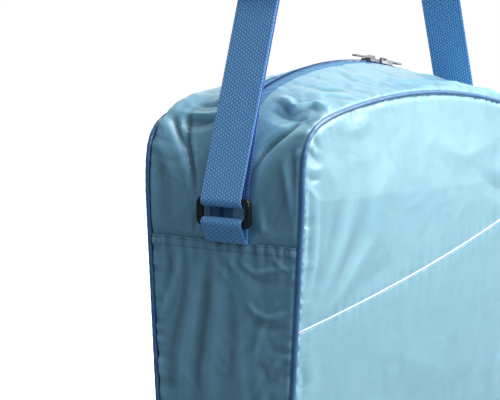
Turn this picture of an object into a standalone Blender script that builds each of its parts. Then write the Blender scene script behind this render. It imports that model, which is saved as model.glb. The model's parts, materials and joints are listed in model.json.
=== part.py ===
"""Ski boot bag: a soft zipped box with piped seams and a webbing shoulder strap.

Metres, +Z up. The bag stands on z = 0 with its middle over the origin. X runs along
its width (the strap's adjuster is on the -X side) and the front panel faces -Y.

The bag is two outlines blended into a shell. The corded seam line is the outline of
the front and back panels, and the ridge line is the middle of the gusset between
them, where the zip runs. Every soft piece is a patch of that shell.
"""
import math

import bmesh
import bpy
import numpy as np

# ---------------------------------------------------------------- driving dimensions
SIDE_X = 0.195              # half the width of the front panel, to its corded seam
DEPTH_TOP = 0.195           # front seam to back seam, at the top of the bag
DEPTH_BOTTOM = 0.160        # the same at the base, where the bag narrows
TAPER_HEIGHT = 0.300        # height over which the depth grows
CLOTH = 0.0015              # thickness of every fabric wall
SEAM_GAP = 0.0003           # gap kept between neighbouring solids
PANEL_BULGE = 0.014         # how far the front and back panels swell out
GUSSET_SEAM_Z = 0.258       # height of the seam across each end of the gusset

CORD_RADIUS = 0.0025        # filled piping round the front and back panels
TRIM_RADIUS = 0.0011        # thin white piping on the front panel
TRIM_LEFT_Z = 0.177         # height of the slanted front seam at the left side
TRIM_SLOPE = 0.24           # its rise per metre to the right

WEB_WIDTH = 0.050           # strap webbing
WEB = 0.0018                # its thickness
STRAP_LEAN = math.radians(16.5)     # how far each leg leans in towards the middle
ARCH_RADIUS = 0.120         # bend at the top of the raised strap
STRAP_HINGE_Z = 0.430       # level at which the raised strap folds forward or back
HINGE_GAP = 0.021           # webbing left out each side of that level

RING_X = 0.2060             # rings stand this far from the middle plane
STRAP_Y = -0.011            # rings and strap sit a little nearer the front
RING_LOW_Z = 0.276          # middle of a ring's lower bar, its hinge
RING_PITCH = 0.022          # lower bar to upper bar
RING_SLOT = 0.0525          # clear width inside a ring
RING_BAR = 0.0036           # half the height of a bar
RING_HALF_THICK = 0.003
FRAME_CORNER = 0.0015       # inner corner radius of the moulded frames
FRAME_CORNER_GROWTH = 0.75  # how fast it grows towards their outside
WRAP_RADIUS = 0.0053        # middle of the webbing where it turns round a bar

WRAP_LENGTH = 0.030         # webbing that turns with a ring, above its upper bar
FOOT_INSET = 0.0005         # a loop's inner foot stands this far inside its turn
STRAP_FOOT = 0.0015         # how far above the end seam the webbing loops start
ADJUSTER_Z = 0.505          # height of the adjuster's middle on the left leg
ADJUSTER_BAR = 0.0024       # half the height of its outer bars
ADJUSTER_SLOT = 0.0110      # half the height of its opening
ADJUSTER_HALF_THICK = 0.0020
MIDDLE_BAR_HALF = 0.0030    # half the width of its middle bar
MIDDLE_BAR_THICK = 0.0016   # and half that bar's thickness
HUMP_WEB = 0.0016           # thickness of the webbing pressed over the middle bar
HUMP_LIFT = 0.0010          # how far its feet stand off the strap
HUMP = [(-0.0095, 0.0), (-0.0062, 0.0021), (-0.0036, 0.0047),
        (0.0036, 0.0047), (0.0062, 0.0021), (0.0095, 0.0)]
CONVERGE_LEFT = 0.095       # the two layers of the left leg meet this far up
CONVERGE_RIGHT = 0.045      # and those of the right leg, where they are stitched
STITCHED_END = 0.092        # length of the sewn-back end on the right leg

ZIP_HALF = 0.016            # half the width of the zip band
COIL_WIDTH = 0.0026         # each half of the zip's coil
COIL_HEIGHT = 0.0010
COIL_LIFT = 0.0004          # gap under the coil
SLIDER_LEFT_ANGLE = math.radians(6.5)
SLIDER_RIGHT_ANGLE = math.radians(9.9)
SLIDER_HALF_LENGTH = 0.0085
SLIDER_PLATE = 0.0016       # thickness of a slider's top plate
BRIDGE_RISE = 0.0030        # the bridge that holds the pull tab stands this far up
BRIDGE_THICK = 0.0012
BRIDGE_HALF_SPAN = 0.0052    # half its length across the zip
BRIDGE_HALF_WIDTH = 0.0015
BRIDGE_SHOULDER = 0.0004    # how its corners are rounded
CHANNEL_PLAY = 0.0010       # room beside the coil inside a slider
SLIDER_WIDTHS = ((1.0, 0.0062), (0.0, 0.0058), (-1.0, 0.0046))  # place along it, half width
TAB_HALF_THICK = 0.0007
TAB_OUTLINE = [(-0.0009, 0.0036), (0.0072, 0.0042), (0.0270, 0.0046), (0.0290, 0.0030)]
TAB_EYE = [(0.0009, 0.0023), (0.0054, 0.0023), (0.0062, 0.0016), (0.0064, 0.0005)]

BOARD_HALF_X = 0.114        # stiff board lying in the base
BOARD_HALF_Y = 0.062
BOARD_CORNER = 0.015        # corner radius of the board
BOARD_THICK = 0.002
BINDING_WIDTH = 0.008       # tape that binds the raw edges inside the corded seams
BINDING_THICK = 0.0012
BINDING_INSET = 0.0020      # from the cord to the binding
BINDING_DEPTH = 0.0035      # and how far inside the seam it lies

# Each outline: side, base and top, with the reach and the fullness of its corners.
PIPING_LINE = dict(side=SIDE_X, base=0.0030, low_start=0.115, low_end=0.120,
                   low_full=0.86, high_start=0.312, high_end=0.110, high_full=0.88,
                   apex=0.396, radius=0.680)
RIDGE_LINE = dict(side=SIDE_X + 0.0018, base=0.0, low_start=0.112, low_end=0.116,
                  low_full=0.86, high_start=0.285, high_end=0.125, high_full=0.60,
                  apex=0.426, radius=0.380)
ZIP_CENTRE_Z = RIDGE_LINE["apex"] - RIDGE_LINE["radius"]
BASE_FLAT = 0.88            # share of the depth that lies flat on the ground
BASE_START_Z = 0.150        # below this height the gusset begins to flatten
BASE_BLEND = 0.140          # height over which it does so


# ---------------------------------------------------------------- materials
def principled(name, colour, roughness, metallic=0.0):
    """A plain Principled material."""
    mat = bpy.data.materials.new(name)
    mat.use_nodes = True
    shader = mat.node_tree.nodes["Principled BSDF"]
    shader.inputs["Base Color"].default_value = (*colour, 1.0)
    shader.inputs["Roughness"].default_value = roughness
    shader.inputs["Metallic"].default_value = metallic
    return mat


def coated_nylon():
    return principled("coated_nylon", (0.24, 0.52, 0.66), 0.32)


def panel_nylon():
    return principled("panel_nylon", (0.24, 0.52, 0.66), 0.32)


def corded_piping():
    return principled("corded_piping", (0.055, 0.16, 0.36), 0.45)


def white_piping():
    return principled("white_piping", (0.86, 0.88, 0.90), 0.40)


def zip_tape():
    return principled("zip_tape", (0.20, 0.44, 0.68), 0.60)


def zip_coil():
    return principled("zip_coil", (0.07, 0.15, 0.32), 0.35)


def slider_metal():
    return principled("slider_metal", (0.55, 0.57, 0.60), 0.30, 1.0)


def strap_webbing():
    return principled("strap_webbing", (0.14, 0.37, 0.72), 0.65)


def black_plastic():
    return principled("black_plastic", (0.012, 0.014, 0.016), 0.28)


def binding_tape():
    return principled("binding_tape", (0.05, 0.13, 0.30), 0.70)


def base_sheet():
    return principled("base_sheet", (0.10, 0.11, 0.12), 0.60)


# ---------------------------------------------------------------- building blocks
def clear_scene():
    for obj in list(bpy.data.objects):
        bpy.data.objects.remove(obj, do_unlink=True)


def joint_empty(name, location, turn_y=0.0, parent=None):
    """An empty on a joint's axis, which the moving pieces hang from."""
    empty = bpy.data.objects.new(name, None)
    empty.location = location
    empty.rotation_euler = (0.0, turn_y, 0.0)
    empty.parent = parent
    bpy.context.scene.collection.objects.link(empty)
    return empty


def add_object(name, verts, faces, material, joint=None, recalc=True):
    """One named mesh object. Under a joint, verts are in the joint's own frame."""
    mesh = bpy.data.meshes.new(name)
    mesh.from_pydata([tuple(map(float, v)) for v in verts], [], faces)
    if recalc:
        work = bmesh.new()
        work.from_mesh(mesh)
        bmesh.ops.recalc_face_normals(work, faces=work.faces)
        work.to_mesh(mesh)
        work.free()
    mesh.materials.append(material)
    mesh.shade_smooth()
    mesh.set_sharp_from_angle(angle=math.radians(35.0))
    obj = bpy.data.objects.new(name, mesh)
    obj.parent = joint
    bpy.context.scene.collection.objects.link(obj)
    return obj


def cloth_sheet(name, grid, material):
    """A grid of surface points (rows, columns, xyz), given its wall inwards."""
    rows, cols = grid.shape[:2]
    index = np.arange(rows * cols).reshape(rows, cols)
    faces = np.stack([index[:-1, :-1], index[1:, :-1], index[1:, 1:], index[:-1, 1:]],
                     axis=-1).reshape(-1, 4)
    points = grid.reshape(-1, 3)
    corner = points[faces]
    normal = np.cross(corner[:, 2] - corner[:, 0], corner[:, 3] - corner[:, 1])
    outward = corner.mean(axis=1) - np.array((0.0, 0.0, 0.2))
    if np.sum(normal * outward) < 0.0:
        faces = faces[:, ::-1]
    obj = add_object(name, points, faces.tolist(), material, recalc=False)
    wall = obj.modifiers.new("wall", "SOLIDIFY")
    wall.thickness = CLOTH
    wall.offset = -1.0
    return obj


def path_normals(path, closed=False):
    """Unit normals of a path in the XZ plane: its tangent turned a quarter turn."""
    if closed:
        tangent = np.roll(path, -1, axis=0) - np.roll(path, 1, axis=0)
    else:
        tangent = np.gradient(path, axis=0)
    tangent /= np.linalg.norm(tangent, axis=1, keepdims=True)
    return np.stack([-tangent[:, 1], tangent[:, 0]], axis=1)


def tube_of_loops(name, loops, material, joint=None, capped=True):
    """Joins equal loops in order. Capped, it is a bar; otherwise it closes on itself."""
    stations, around = len(loops), len(loops[0])
    index = np.arange(stations * around).reshape(stations, around)
    faces = []
    for s in range(stations if not capped else stations - 1):
        here, there = index[s], index[(s + 1) % stations]
        for k in range(around):
            n = (k + 1) % around
            faces.append([int(here[k]), int(here[n]), int(there[n]), int(there[k])])
    if capped:
        faces.append([int(i) for i in index[0]])
        faces.append([int(i) for i in index[-1]])
    return add_object(name, np.concatenate(loops), faces, material, joint)


def ribbon(name, path, y_low, y_high, thickness, material, joint=None, origin=(0.0, 0.0)):
    """A flat strip following a path in the XZ plane, from y_low to y_high."""
    path = np.asarray(path, dtype=float)
    offset = path_normals(path) * thickness * 0.5
    origin = np.asarray(origin)
    loops = []
    for point, shift in zip(path - origin, offset):
        out, back = point + shift, point - shift
        loops.append(np.array([(out[0], y_low, out[1]), (out[0], y_high, out[1]),
                               (back[0], y_high, back[1]), (back[0], y_low, back[1])]))
    return tube_of_loops(name, loops, material, joint)


def cord(name, points, radius, material, closed):
    """A round cord: a poly curve with a bevel, closed or with filled ends."""
    points = list(points)
    curve = bpy.data.curves.new(name, "CURVE")
    curve.dimensions = "3D"
    curve.bevel_depth = radius
    curve.bevel_resolution = 2
    curve.use_fill_caps = not closed
    spline = curve.splines.new("POLY")
    spline.points.add(len(points) - 1)
    for slot, (x, y, z) in zip(spline.points, points):
        slot.co = (x, y, z, 1.0)
    spline.use_cyclic_u = closed
    curve.materials.append(material)
    obj = bpy.data.objects.new(name, curve)
    bpy.context.scene.collection.objects.link(obj)
    return obj


# ---------------------------------------------------------------- the bag's two outlines
def half_depth(z):
    """Half the bag's depth at a height: it widens steadily up to TAPER_HEIGHT."""
    share = np.clip(np.asarray(z) / TAPER_HEIGHT, 0.0, 1.0)
    return 0.5 * (DEPTH_BOTTOM + (DEPTH_TOP - DEPTH_BOTTOM) * share)


def cubic_corner(start, cross, end, fullness, count):
    """A cubic whose handles reach `fullness` of the way to where the tangents cross."""
    start, cross, end = (np.asarray(p, dtype=float) for p in (start, cross, end))
    handle_a = start + fullness * (cross - start)
    handle_b = end + fullness * (cross - end)
    t = np.linspace(0.0, 1.0, count)[:, None]
    return ((1 - t) ** 3 * start + 3 * (1 - t) ** 2 * t * handle_a
            + 3 * (1 - t) * t ** 2 * handle_b + t ** 3 * end)


def upper_half(line, first_z, side=4, corner=13, top=9):
    """Left half of an outline from a height on the side up to the top's middle."""
    x = -line["side"]
    reach = -line["high_end"]
    centre_z = line["apex"] - line["radius"]
    rise = math.sqrt(line["radius"] ** 2 - reach ** 2)
    slope = -reach / rise
    end = (reach, centre_z + rise)
    cross = (x, end[1] - slope * (reach - x))
    up = np.linspace((x, first_z), (x, line["high_start"]), side)
    turn = cubic_corner((x, line["high_start"]), cross, end, line["high_full"], corner)
    angle = np.linspace(math.asin(reach / line["radius"]), 0.0, top)
    arch = np.stack([line["radius"] * np.sin(angle),
                     centre_z + line["radius"] * np.cos(angle)], axis=1)
    return np.concatenate([up[:-1], turn[:-1], arch])


def lower_half(line, first_z, side=4, corner=10, base=4):
    """Left half of an outline from a height on the side down to the base's middle."""
    x = -line["side"]
    down = np.linspace((x, first_z), (x, line["low_start"]), side)
    turn = cubic_corner((x, line["low_start"]), (x, line["base"]),
                        (-line["low_end"], line["base"]), line["low_full"], corner)
    flat = np.linspace((-line["low_end"], line["base"]), (0.0, line["base"]), base)
    return np.concatenate([down[:-1], turn[:-1], flat])


def mirrored(half):
    """A whole run from its left half, whose last point is on the middle plane."""
    right = half[-2::-1] * np.array((-1.0, 1.0))
    return np.concatenate([half, right])


def over_the_top(line, first_z):
    return mirrored(upper_half(line, first_z))


def under_the_base(line, first_z):
    return mirrored(lower_half(line, first_z))


def whole_outline(line):
    """Closed outline, anticlockwise seen from the back, without a repeated point."""
    over = over_the_top(line, GUSSET_SEAM_Z)
    under = under_the_base(line, GUSSET_SEAM_Z)
    return np.concatenate([over, under[-2:0:-1]])


def gusset_patch(seam_run, ridge_run, y_low, y_high, columns, base=False):
    """Surface points between the corded seams, from y_low to y_high.

    The height of the ridge over the seams fades as 1 - v squared across the depth.
    Under the base it keeps full height over BASE_FLAT of the depth, so that the bag
    stands flat. y_low and y_high may be arrays, one value for each station.
    """
    depth = half_depth(seam_run[:, 1])
    low = np.broadcast_to(y_low, depth.shape)
    high = np.broadcast_to(y_high, depth.shape)
    y = low[:, None] + (high - low)[:, None] * np.linspace(0.0, 1.0, columns)
    v = y / depth[:, None]
    weight = 1.0 - v ** 2
    if base:
        flat = np.clip((1.0 - np.abs(v)) / (1.0 - BASE_FLAT), 0.0, 1.0)
        middle = np.clip((BASE_START_Z - seam_run[:, 1]) / BASE_BLEND, 0.0, 1.0)[:, None]
        weight = weight * (1.0 - middle) + flat * middle
    run = seam_run[:, None, :] + weight[..., None] * (ridge_run - seam_run)[:, None, :]
    return np.stack([run[..., 0], y, run[..., 1]], axis=-1)


def gusset_edge(seam_run):
    """Where the gusset stops beside the cord, as a distance from the middle plane."""
    return half_depth(seam_run[:, 1]) - CORD_RADIUS - SEAM_GAP


# ---------------------------------------------------------------- soft body
def make_gussets(nylon, tape, coil):
    seam = over_the_top(PIPING_LINE, GUSSET_SEAM_Z + SEAM_GAP)
    ridge = over_the_top(RIDGE_LINE, GUSSET_SEAM_Z + SEAM_GAP)
    edge = gusset_edge(seam)
    inner = ZIP_HALF + SEAM_GAP
    cloth_sheet("top_gusset_front", gusset_patch(seam, ridge, -edge, -inner, 5), nylon)
    cloth_sheet("top_gusset_back", gusset_patch(seam, ridge, inner, edge, 5), nylon)
    middle = SEAM_GAP * 0.5
    cloth_sheet("zipper_tape_front", gusset_patch(seam, ridge, -ZIP_HALF, -middle, 3), tape)
    cloth_sheet("zipper_tape_back", gusset_patch(seam, ridge, middle, ZIP_HALF, 3), tape)

    raised = ridge + path_normals(ridge) * (COIL_LIFT + COIL_HEIGHT * 0.5)
    far = middle + COIL_WIDTH
    ribbon("zipper_coil_front", raised, -far, -middle, COIL_HEIGHT, coil)
    ribbon("zipper_coil_back", raised, middle, far, COIL_HEIGHT, coil)

    seam = under_the_base(PIPING_LINE, GUSSET_SEAM_Z - SEAM_GAP)
    ridge = under_the_base(RIDGE_LINE, GUSSET_SEAM_Z - SEAM_GAP)
    edge = gusset_edge(seam)
    patch = gusset_patch(seam, ridge, -edge, edge, 11, base=True)
    cloth_sheet("lower_gusset", patch, nylon)


def panel_limits(inset):
    """Lowest and highest z of a panel at any x, the outline pulled in by `inset`."""
    line = whole_outline(PIPING_LINE)
    inside = line + path_normals(line, closed=True) * -inset
    top = inside[inside[:, 1] > TRIM_LEFT_Z + 0.05]
    low = inside[inside[:, 1] < TRIM_LEFT_Z - 0.01]
    top = top[np.argsort(top[:, 0])]
    low = low[np.argsort(low[:, 0])]
    return top, low


def panel_y(x, z):
    """Distance of a panel's outer face from the middle plane: a crowned surface."""
    middle = PIPING_LINE["apex"] * 0.5
    across = 1.0 - np.clip(np.abs(x) / SIDE_X, 0.0, 1.0) ** 2
    up = 1.0 - np.clip(np.abs(z - middle) / middle, 0.0, 1.0) ** 2
    return half_depth(z) + CLOTH * 0.5 + PANEL_BULGE * across * up


def trim_z(x):
    """Height of the slanted seam on the front panel."""
    return TRIM_LEFT_Z + TRIM_SLOPE * (np.asarray(x) + SIDE_X)


def panel_grid(lower, upper, columns, rows, side):
    """Columns of points between two height functions, close together at the sides."""
    reach = SIDE_X - CORD_RADIUS - SEAM_GAP
    x = reach * np.sin(np.linspace(-0.5 * math.pi, 0.5 * math.pi, columns))
    z = lower(x)[:, None] + (upper(x) - lower(x))[:, None] * np.linspace(0.0, 1.0, rows)
    wide = np.broadcast_to(x[:, None], z.shape)
    return np.stack([wide, side * panel_y(wide, z), z], axis=-1)


def make_panels(panel, trim):
    top, low = panel_limits(CORD_RADIUS + 2.0 * SEAM_GAP)

    def upper_edge(x):
        return np.interp(x, top[:, 0], top[:, 1])

    def lower_edge(x):
        return np.interp(x, low[:, 0], low[:, 1])

    seam_half = TRIM_RADIUS + SEAM_GAP

    def above_trim(x):
        return trim_z(x) + seam_half

    def below_trim(x):
        return trim_z(x) - seam_half

    cloth_sheet("front_panel_upper", panel_grid(above_trim, upper_edge, 31, 6, -1.0), panel)
    cloth_sheet("front_panel_lower", panel_grid(lower_edge, below_trim, 31, 6, -1.0), panel)
    cloth_sheet("back_panel", panel_grid(lower_edge, upper_edge, 31, 9, 1.0), panel)

    reach = SIDE_X - CORD_RADIUS - 3.0 * SEAM_GAP
    x = np.linspace(-reach, reach, 25)
    z = trim_z(x)
    cord("contrast_piping", zip(x, CLOTH * 0.5 - panel_y(x, z), z), TRIM_RADIUS, trim, False)


def make_piping(cord_material):
    line = whole_outline(PIPING_LINE)
    depth = half_depth(line[:, 1])
    for name, side in (("front_piping", -1.0), ("back_piping", 1.0)):
        points = zip(line[:, 0], side * depth, line[:, 1])
        cord(name, points, CORD_RADIUS, cord_material, True)


def make_seam_bindings(tape):
    """Folded tape over the raw edges, a fin that stands in from each corded seam."""
    line = whole_outline(PIPING_LINE)
    inward = -path_normals(line, closed=True)
    outer = line + inward * (CORD_RADIUS + BINDING_INSET)
    inner = outer + inward * BINDING_WIDTH
    depth = half_depth(line[:, 1])
    for name, side in (("seam_binding_front", -1.0), ("seam_binding_back", 1.0)):
        near = side * (depth - BINDING_DEPTH)
        far = side * (depth - BINDING_DEPTH - BINDING_THICK)
        loops = []
        for i in range(len(line)):
            loops.append(np.array([(outer[i, 0], near[i], outer[i, 1]),
                                   (inner[i, 0], near[i], inner[i, 1]),
                                   (inner[i, 0], far[i], inner[i, 1]),
                                   (outer[i, 0], far[i], outer[i, 1])]))
        tube_of_loops(name, loops, tape, capped=False)


def rounded_rectangle(half_a, half_b, radius, steps=4):
    """Points round a rectangle with rounded corners, anticlockwise."""
    points = []
    for quarter, (sa, sb) in enumerate(((1, 1), (-1, 1), (-1, -1), (1, -1))):
        for k in range(steps + 1):
            angle = 0.5 * math.pi * (quarter + k / steps)
            points.append((sa * (half_a - radius) + radius * math.cos(angle),
                           sb * (half_b - radius) + radius * math.sin(angle)))
    return np.array(points)


def make_base_board(sheet):
    outline = rounded_rectangle(BOARD_HALF_X, BOARD_HALF_Y, BOARD_CORNER)
    low = CLOTH + SEAM_GAP
    loops = [np.column_stack([outline, np.full(len(outline), z)])
             for z in (low, low + BOARD_THICK)]
    tube_of_loops("base_board", loops, sheet)


# ---------------------------------------------------------------- rings and strap
def bar_frame(name, slot_a, slot_b, bar, half_thick, material, joint, place):
    """A moulded rectangular frame: a chamfered bar carried round a rounded slot.

    The slot is 2*slot_a by 2*slot_b. `place` maps (across, along, through) to xyz.
    """
    chamfer = min(bar, half_thick) * 0.55
    section = [(0.0, half_thick - chamfer), (chamfer, half_thick),
               (2 * bar - chamfer, half_thick), (2 * bar, half_thick - chamfer),
               (2 * bar, chamfer - half_thick), (2 * bar - chamfer, -half_thick),
               (chamfer, -half_thick), (0.0, chamfer - half_thick)]
    loops = []
    for out, through in section:
        ring = rounded_rectangle(slot_a + out, slot_b + out,
                                 FRAME_CORNER + out * FRAME_CORNER_GROWTH)
        loops.append(np.array([place(a, b, through) for a, b in ring]))
    return tube_of_loops(name, loops, material, joint, capped=False)


def ring_frame(side):
    """Bar centres of one ring, in the XZ plane."""
    low = np.array((side * RING_X, RING_LOW_Z))
    return low, low + np.array((0.0, RING_PITCH))


def leg_axes(side):
    """Direction up a strap leg, and its outward normal, in the XZ plane."""
    along = np.array((-side * math.sin(STRAP_LEAN), math.cos(STRAP_LEAN)))
    outward = np.array((side * math.cos(STRAP_LEAN), math.sin(STRAP_LEAN)))
    return along, outward


def leg_point(side, travel, offset):
    """A point at a distance up the leg from the ring's upper bar, and out from it."""
    high = ring_frame(side)[1]
    along, outward = leg_axes(side)
    return high + along * travel + outward * offset


def travel_to(z):
    """Distance up a leg at which it reaches a height."""
    return (z - RING_LOW_Z - RING_PITCH) / math.cos(STRAP_LEAN)


def inner_offset(side, travel):
    """Offset of the inner layer: it leaves the bar's far side and meets the outer layer."""
    converge = CONVERGE_LEFT if side < 0 else CONVERGE_RIGHT
    share = min(travel / converge, 1.0)
    joined = WRAP_RADIUS - WEB - SEAM_GAP
    return -WRAP_RADIUS + share * (joined + WRAP_RADIUS)


def outer_run(side, first, last):
    """Straight outer layer between two distances up a leg."""
    return [leg_point(side, first, WRAP_RADIUS), leg_point(side, last, WRAP_RADIUS)]


def inner_run(side, first, last):
    """Inner layer between two distances up a leg, with its bend where it meets."""
    converge = CONVERGE_LEFT if side < 0 else CONVERGE_RIGHT
    stops = sorted({first, last} | ({converge} if first < converge < last else set()))
    return [leg_point(side, travel, inner_offset(side, travel)) for travel in stops]


def turn_round_bar(centre, first, across, steps=8):
    """Half circle round a bar: from the side `first`, past `across`, to the far side."""
    angle = np.linspace(0.0, math.pi, steps + 1)[:, None]
    return centre + WRAP_RADIUS * (np.cos(angle) * first + np.sin(angle) * across)


def make_loop(side, word, webbing):
    """Webbing sewn into the end seam, over the ring's lower bar and back down."""
    low = ring_frame(side)[0]
    foot = GUSSET_SEAM_Z + STRAP_FOOT
    ply = WEB + 2.0 * SEAM_GAP
    inner_foot = np.array((side * (RING_X - WRAP_RADIUS - FOOT_INSET), foot))
    outer_foot = inner_foot + np.array((side * ply, 0.0))
    turn = turn_round_bar(low, np.array((-side, 0.0)), np.array((0.0, 1.0)))
    path = np.concatenate([[inner_foot], turn, [outer_foot]])
    half = WEB_WIDTH * 0.5
    ribbon("webbing_loop_" + word, path, STRAP_Y - half, STRAP_Y + half, WEB, webbing)


def make_ring(side, word, plastic, webbing):
    """A ring on its hinge, with the strap's turn round its upper bar."""
    low, high = ring_frame(side)
    joint = joint_empty("ring_hinge_" + word, (low[0], STRAP_Y, low[1]))
    middle = RING_PITCH * 0.5

    def place(across, along, through):
        return through, across, middle + along

    bar_frame("ring_" + word, RING_SLOT * 0.5, middle - RING_BAR, RING_BAR,
              RING_HALF_THICK, plastic, joint, place)

    along, outward = leg_axes(side)
    turn = turn_round_bar(high, -outward, -along)
    path = np.concatenate([[leg_point(side, WRAP_LENGTH, inner_offset(side, WRAP_LENGTH))],
                           turn, [leg_point(side, WRAP_LENGTH, WRAP_RADIUS)]])
    half = WEB_WIDTH * 0.5
    ribbon("strap_wrap_" + word, path, -half, half, WEB, webbing, joint, origin=low)


def make_legs(webbing):
    """The two legs between the rings and the level where the strap folds over."""
    first = WRAP_LENGTH + SEAM_GAP
    last = travel_to(STRAP_HINGE_Z - HINGE_GAP)
    half = WEB_WIDTH * 0.5
    runs = (("strap_leg_left", outer_run(-1, first, last)),
            ("strap_return_left", inner_run(-1, first, last)),
            ("strap_leg_right", outer_run(1, first, last)),
            ("strap_end_right", inner_run(1, first, STITCHED_END)))
    for name, path in runs:
        ribbon(name, path, STRAP_Y - half, STRAP_Y + half, WEB, webbing)


def arch_path():
    """Strap over the top: a straight leg, a round bend about x = 0 and the other leg."""
    start = leg_point(-1, travel_to(STRAP_HINGE_Z + HINGE_GAP), WRAP_RADIUS)
    along, outward = leg_axes(-1)
    reach = (-ARCH_RADIUS * math.cos(STRAP_LEAN) - start[0]) / along[0]
    tangent = start + along * reach
    centre = tangent - outward * ARCH_RADIUS
    angle = np.linspace(math.pi - STRAP_LEAN, 0.5 * math.pi, 12)
    bend = centre + ARCH_RADIUS * np.stack([np.cos(angle), np.sin(angle)], axis=1)
    leg = np.linspace(start, tangent, 5)
    return mirrored(np.concatenate([leg[:-1], bend]))


def make_arch(webbing, plastic):
    """The part of the strap that folds forward or back, with its length adjuster."""
    hinge = np.array((0.0, STRAP_HINGE_Z))
    joint = joint_empty("strap_hinge", (0.0, STRAP_Y, STRAP_HINGE_Z))
    half = WEB_WIDTH * 0.5
    ribbon("strap_arch", arch_path(), -half, half, WEB, webbing, joint, origin=hinge)

    low = travel_to(STRAP_HINGE_Z + HINGE_GAP)
    high = travel_to(ADJUSTER_Z)
    ribbon("strap_return_upper", inner_run(-1, low, high), -half, half, WEB, webbing,
           joint, origin=hinge)
    make_adjuster(joint, hinge, plastic, webbing)


def make_adjuster(joint, hinge, plastic, webbing):
    """Three-bar adjuster lying on the strap's outer face, webbing over its middle bar."""
    middle = leg_point(-1, travel_to(ADJUSTER_Z), WRAP_RADIUS)
    along, outward = leg_axes(-1)
    lift = WEB * 0.5 + SEAM_GAP + ADJUSTER_HALF_THICK
    slide = joint_empty("adjuster_slide", (middle[0] - hinge[0], 0.0, middle[1] - hinge[1]),
                        parent=joint)

    def place(across, up, through):
        spot = along * up + outward * (through + lift)
        return spot[0], across, spot[1]

    frame = bar_frame("strap_adjuster", RING_SLOT * 0.5, ADJUSTER_SLOT, ADJUSTER_BAR,
                      ADJUSTER_HALF_THICK, plastic, slide, place)

    bar_reach = RING_SLOT * 0.5 + ADJUSTER_BAR
    section = ((-MIDDLE_BAR_HALF, -MIDDLE_BAR_THICK), (MIDDLE_BAR_HALF, -MIDDLE_BAR_THICK),
               (MIDDLE_BAR_HALF, MIDDLE_BAR_THICK), (-MIDDLE_BAR_HALF, MIDDLE_BAR_THICK))
    loops = [np.array([place(across, up, through) for up, through in section])
             for across in (-bar_reach, bar_reach)]
    bar = tube_of_loops("adjuster_middle_bar", loops, plastic, slide)
    join_hidden(frame, bar)

    base = WEB * 0.5 + SEAM_GAP + HUMP_LIFT
    path = [along * up + outward * (base + rise) for up, rise in HUMP]
    half = WEB_WIDTH * 0.5
    ribbon("strap_over_adjuster", path, -half, half, HUMP_WEB, webbing, slide)


def join_hidden(obj, tool):
    """Boolean union of a helper solid, which is then only a guide."""
    union = obj.modifiers.new("union", "BOOLEAN")
    union.operation = "UNION"
    union.solver = "EXACT"
    union.object = tool
    tool.hide_render = True
    tool.display_type = "WIRE"


# ---------------------------------------------------------------- zip sliders
def make_slider(word, angle, facing, metal):
    """A slider on the zip's arc. Its joint is the middle of that arc.

    `facing` is +1 or -1, the way along X that its pull tab lies.
    """
    radius = RIDGE_LINE["radius"]
    joint = joint_empty("slider_hinge_" + word, (0.0, 0.0, ZIP_CENTRE_Z), angle)
    channel_top = radius + COIL_LIFT + COIL_HEIGHT + 2.0 * SEAM_GAP
    low, high = radius + COIL_LIFT, channel_top + SLIDER_PLATE
    channel = COIL_WIDTH + CHANNEL_PLAY
    loops = []
    for share, half in SLIDER_WIDTHS:
        x = share * facing * SLIDER_HALF_LENGTH
        loops.append(np.array([(x, -half, low), (x, -channel, low), (x, -channel, channel_top),
                               (x, channel, channel_top), (x, channel, low), (x, half, low),
                               (x, half, high), (x, -half, high)]))
    body = tube_of_loops("zipper_slider_" + word, loops, metal, joint)

    top = high + BRIDGE_RISE
    foot = high - BRIDGE_THICK * 0.5
    left_run = [(-BRIDGE_HALF_SPAN, foot),
                (-BRIDGE_HALF_SPAN + BRIDGE_SHOULDER, top - BRIDGE_SHOULDER),
                (-BRIDGE_HALF_SPAN + 4.0 * BRIDGE_SHOULDER, top)]
    path = left_run + [(-x, z) for x, z in reversed(left_run)]
    bridge = ribbon("slider_bridge_" + word, path, -BRIDGE_HALF_WIDTH, BRIDGE_HALF_WIDTH,
                    BRIDGE_THICK, metal, joint)
    join_hidden(body, bridge)

    pin_z = 0.5 * (high + top - BRIDGE_THICK * 0.5)
    tab_joint = joint_empty("tab_hinge_" + word, (0.0, 0.0, pin_z), parent=joint)
    make_pull_tab(word, facing, metal, tab_joint)


def make_pull_tab(word, facing, metal, joint):
    """A flat pull with an eye. The eye's end bar lies under the slider's bridge."""
    outer = TAB_OUTLINE + [(x, -y) for x, y in reversed(TAB_OUTLINE)]
    eye = TAB_EYE + [(x, -y) for x, y in reversed(TAB_EYE)]
    loops = []
    for outline, z in ((outer, TAB_HALF_THICK), (outer, -TAB_HALF_THICK),
                       (eye, -TAB_HALF_THICK), (eye, TAB_HALF_THICK)):
        loops.append(np.array([(facing * x, y, z) for x, y in outline]))
    tube_of_loops("pull_tab_" + word, loops, metal, joint, capped=False)


def main():
    clear_scene()
    nylon, panel = coated_nylon(), panel_nylon()
    webbing, plastic, metal = strap_webbing(), black_plastic(), slider_metal()
    make_gussets(nylon, zip_tape(), zip_coil())
    make_panels(panel, white_piping())
    make_piping(corded_piping())
    make_seam_bindings(binding_tape())
    make_base_board(base_sheet())
    for side, word in ((-1, "left"), (1, "right")):
        make_loop(side, word, webbing)
        make_ring(side, word, plastic, webbing)
    make_legs(webbing)
    make_arch(webbing, plastic)
    make_slider("left", SLIDER_LEFT_ANGLE, -1, metal)
    make_slider("right", SLIDER_RIGHT_ANGLE, 1, metal)
    bpy.context.view_layer.update()


main()
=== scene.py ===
# %% [markdown]
# # A ski boot bag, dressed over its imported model
#
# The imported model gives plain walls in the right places: panels, gussets, piping, a
# zip, rings and a strap. This lesson puts the real surfaces over them. Nearly all of
# the bag is thin coated nylon, so the work is in its folds and in how it shines.
# Every new shape is a grid of points worked out with numpy and turned into a mesh.

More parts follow.
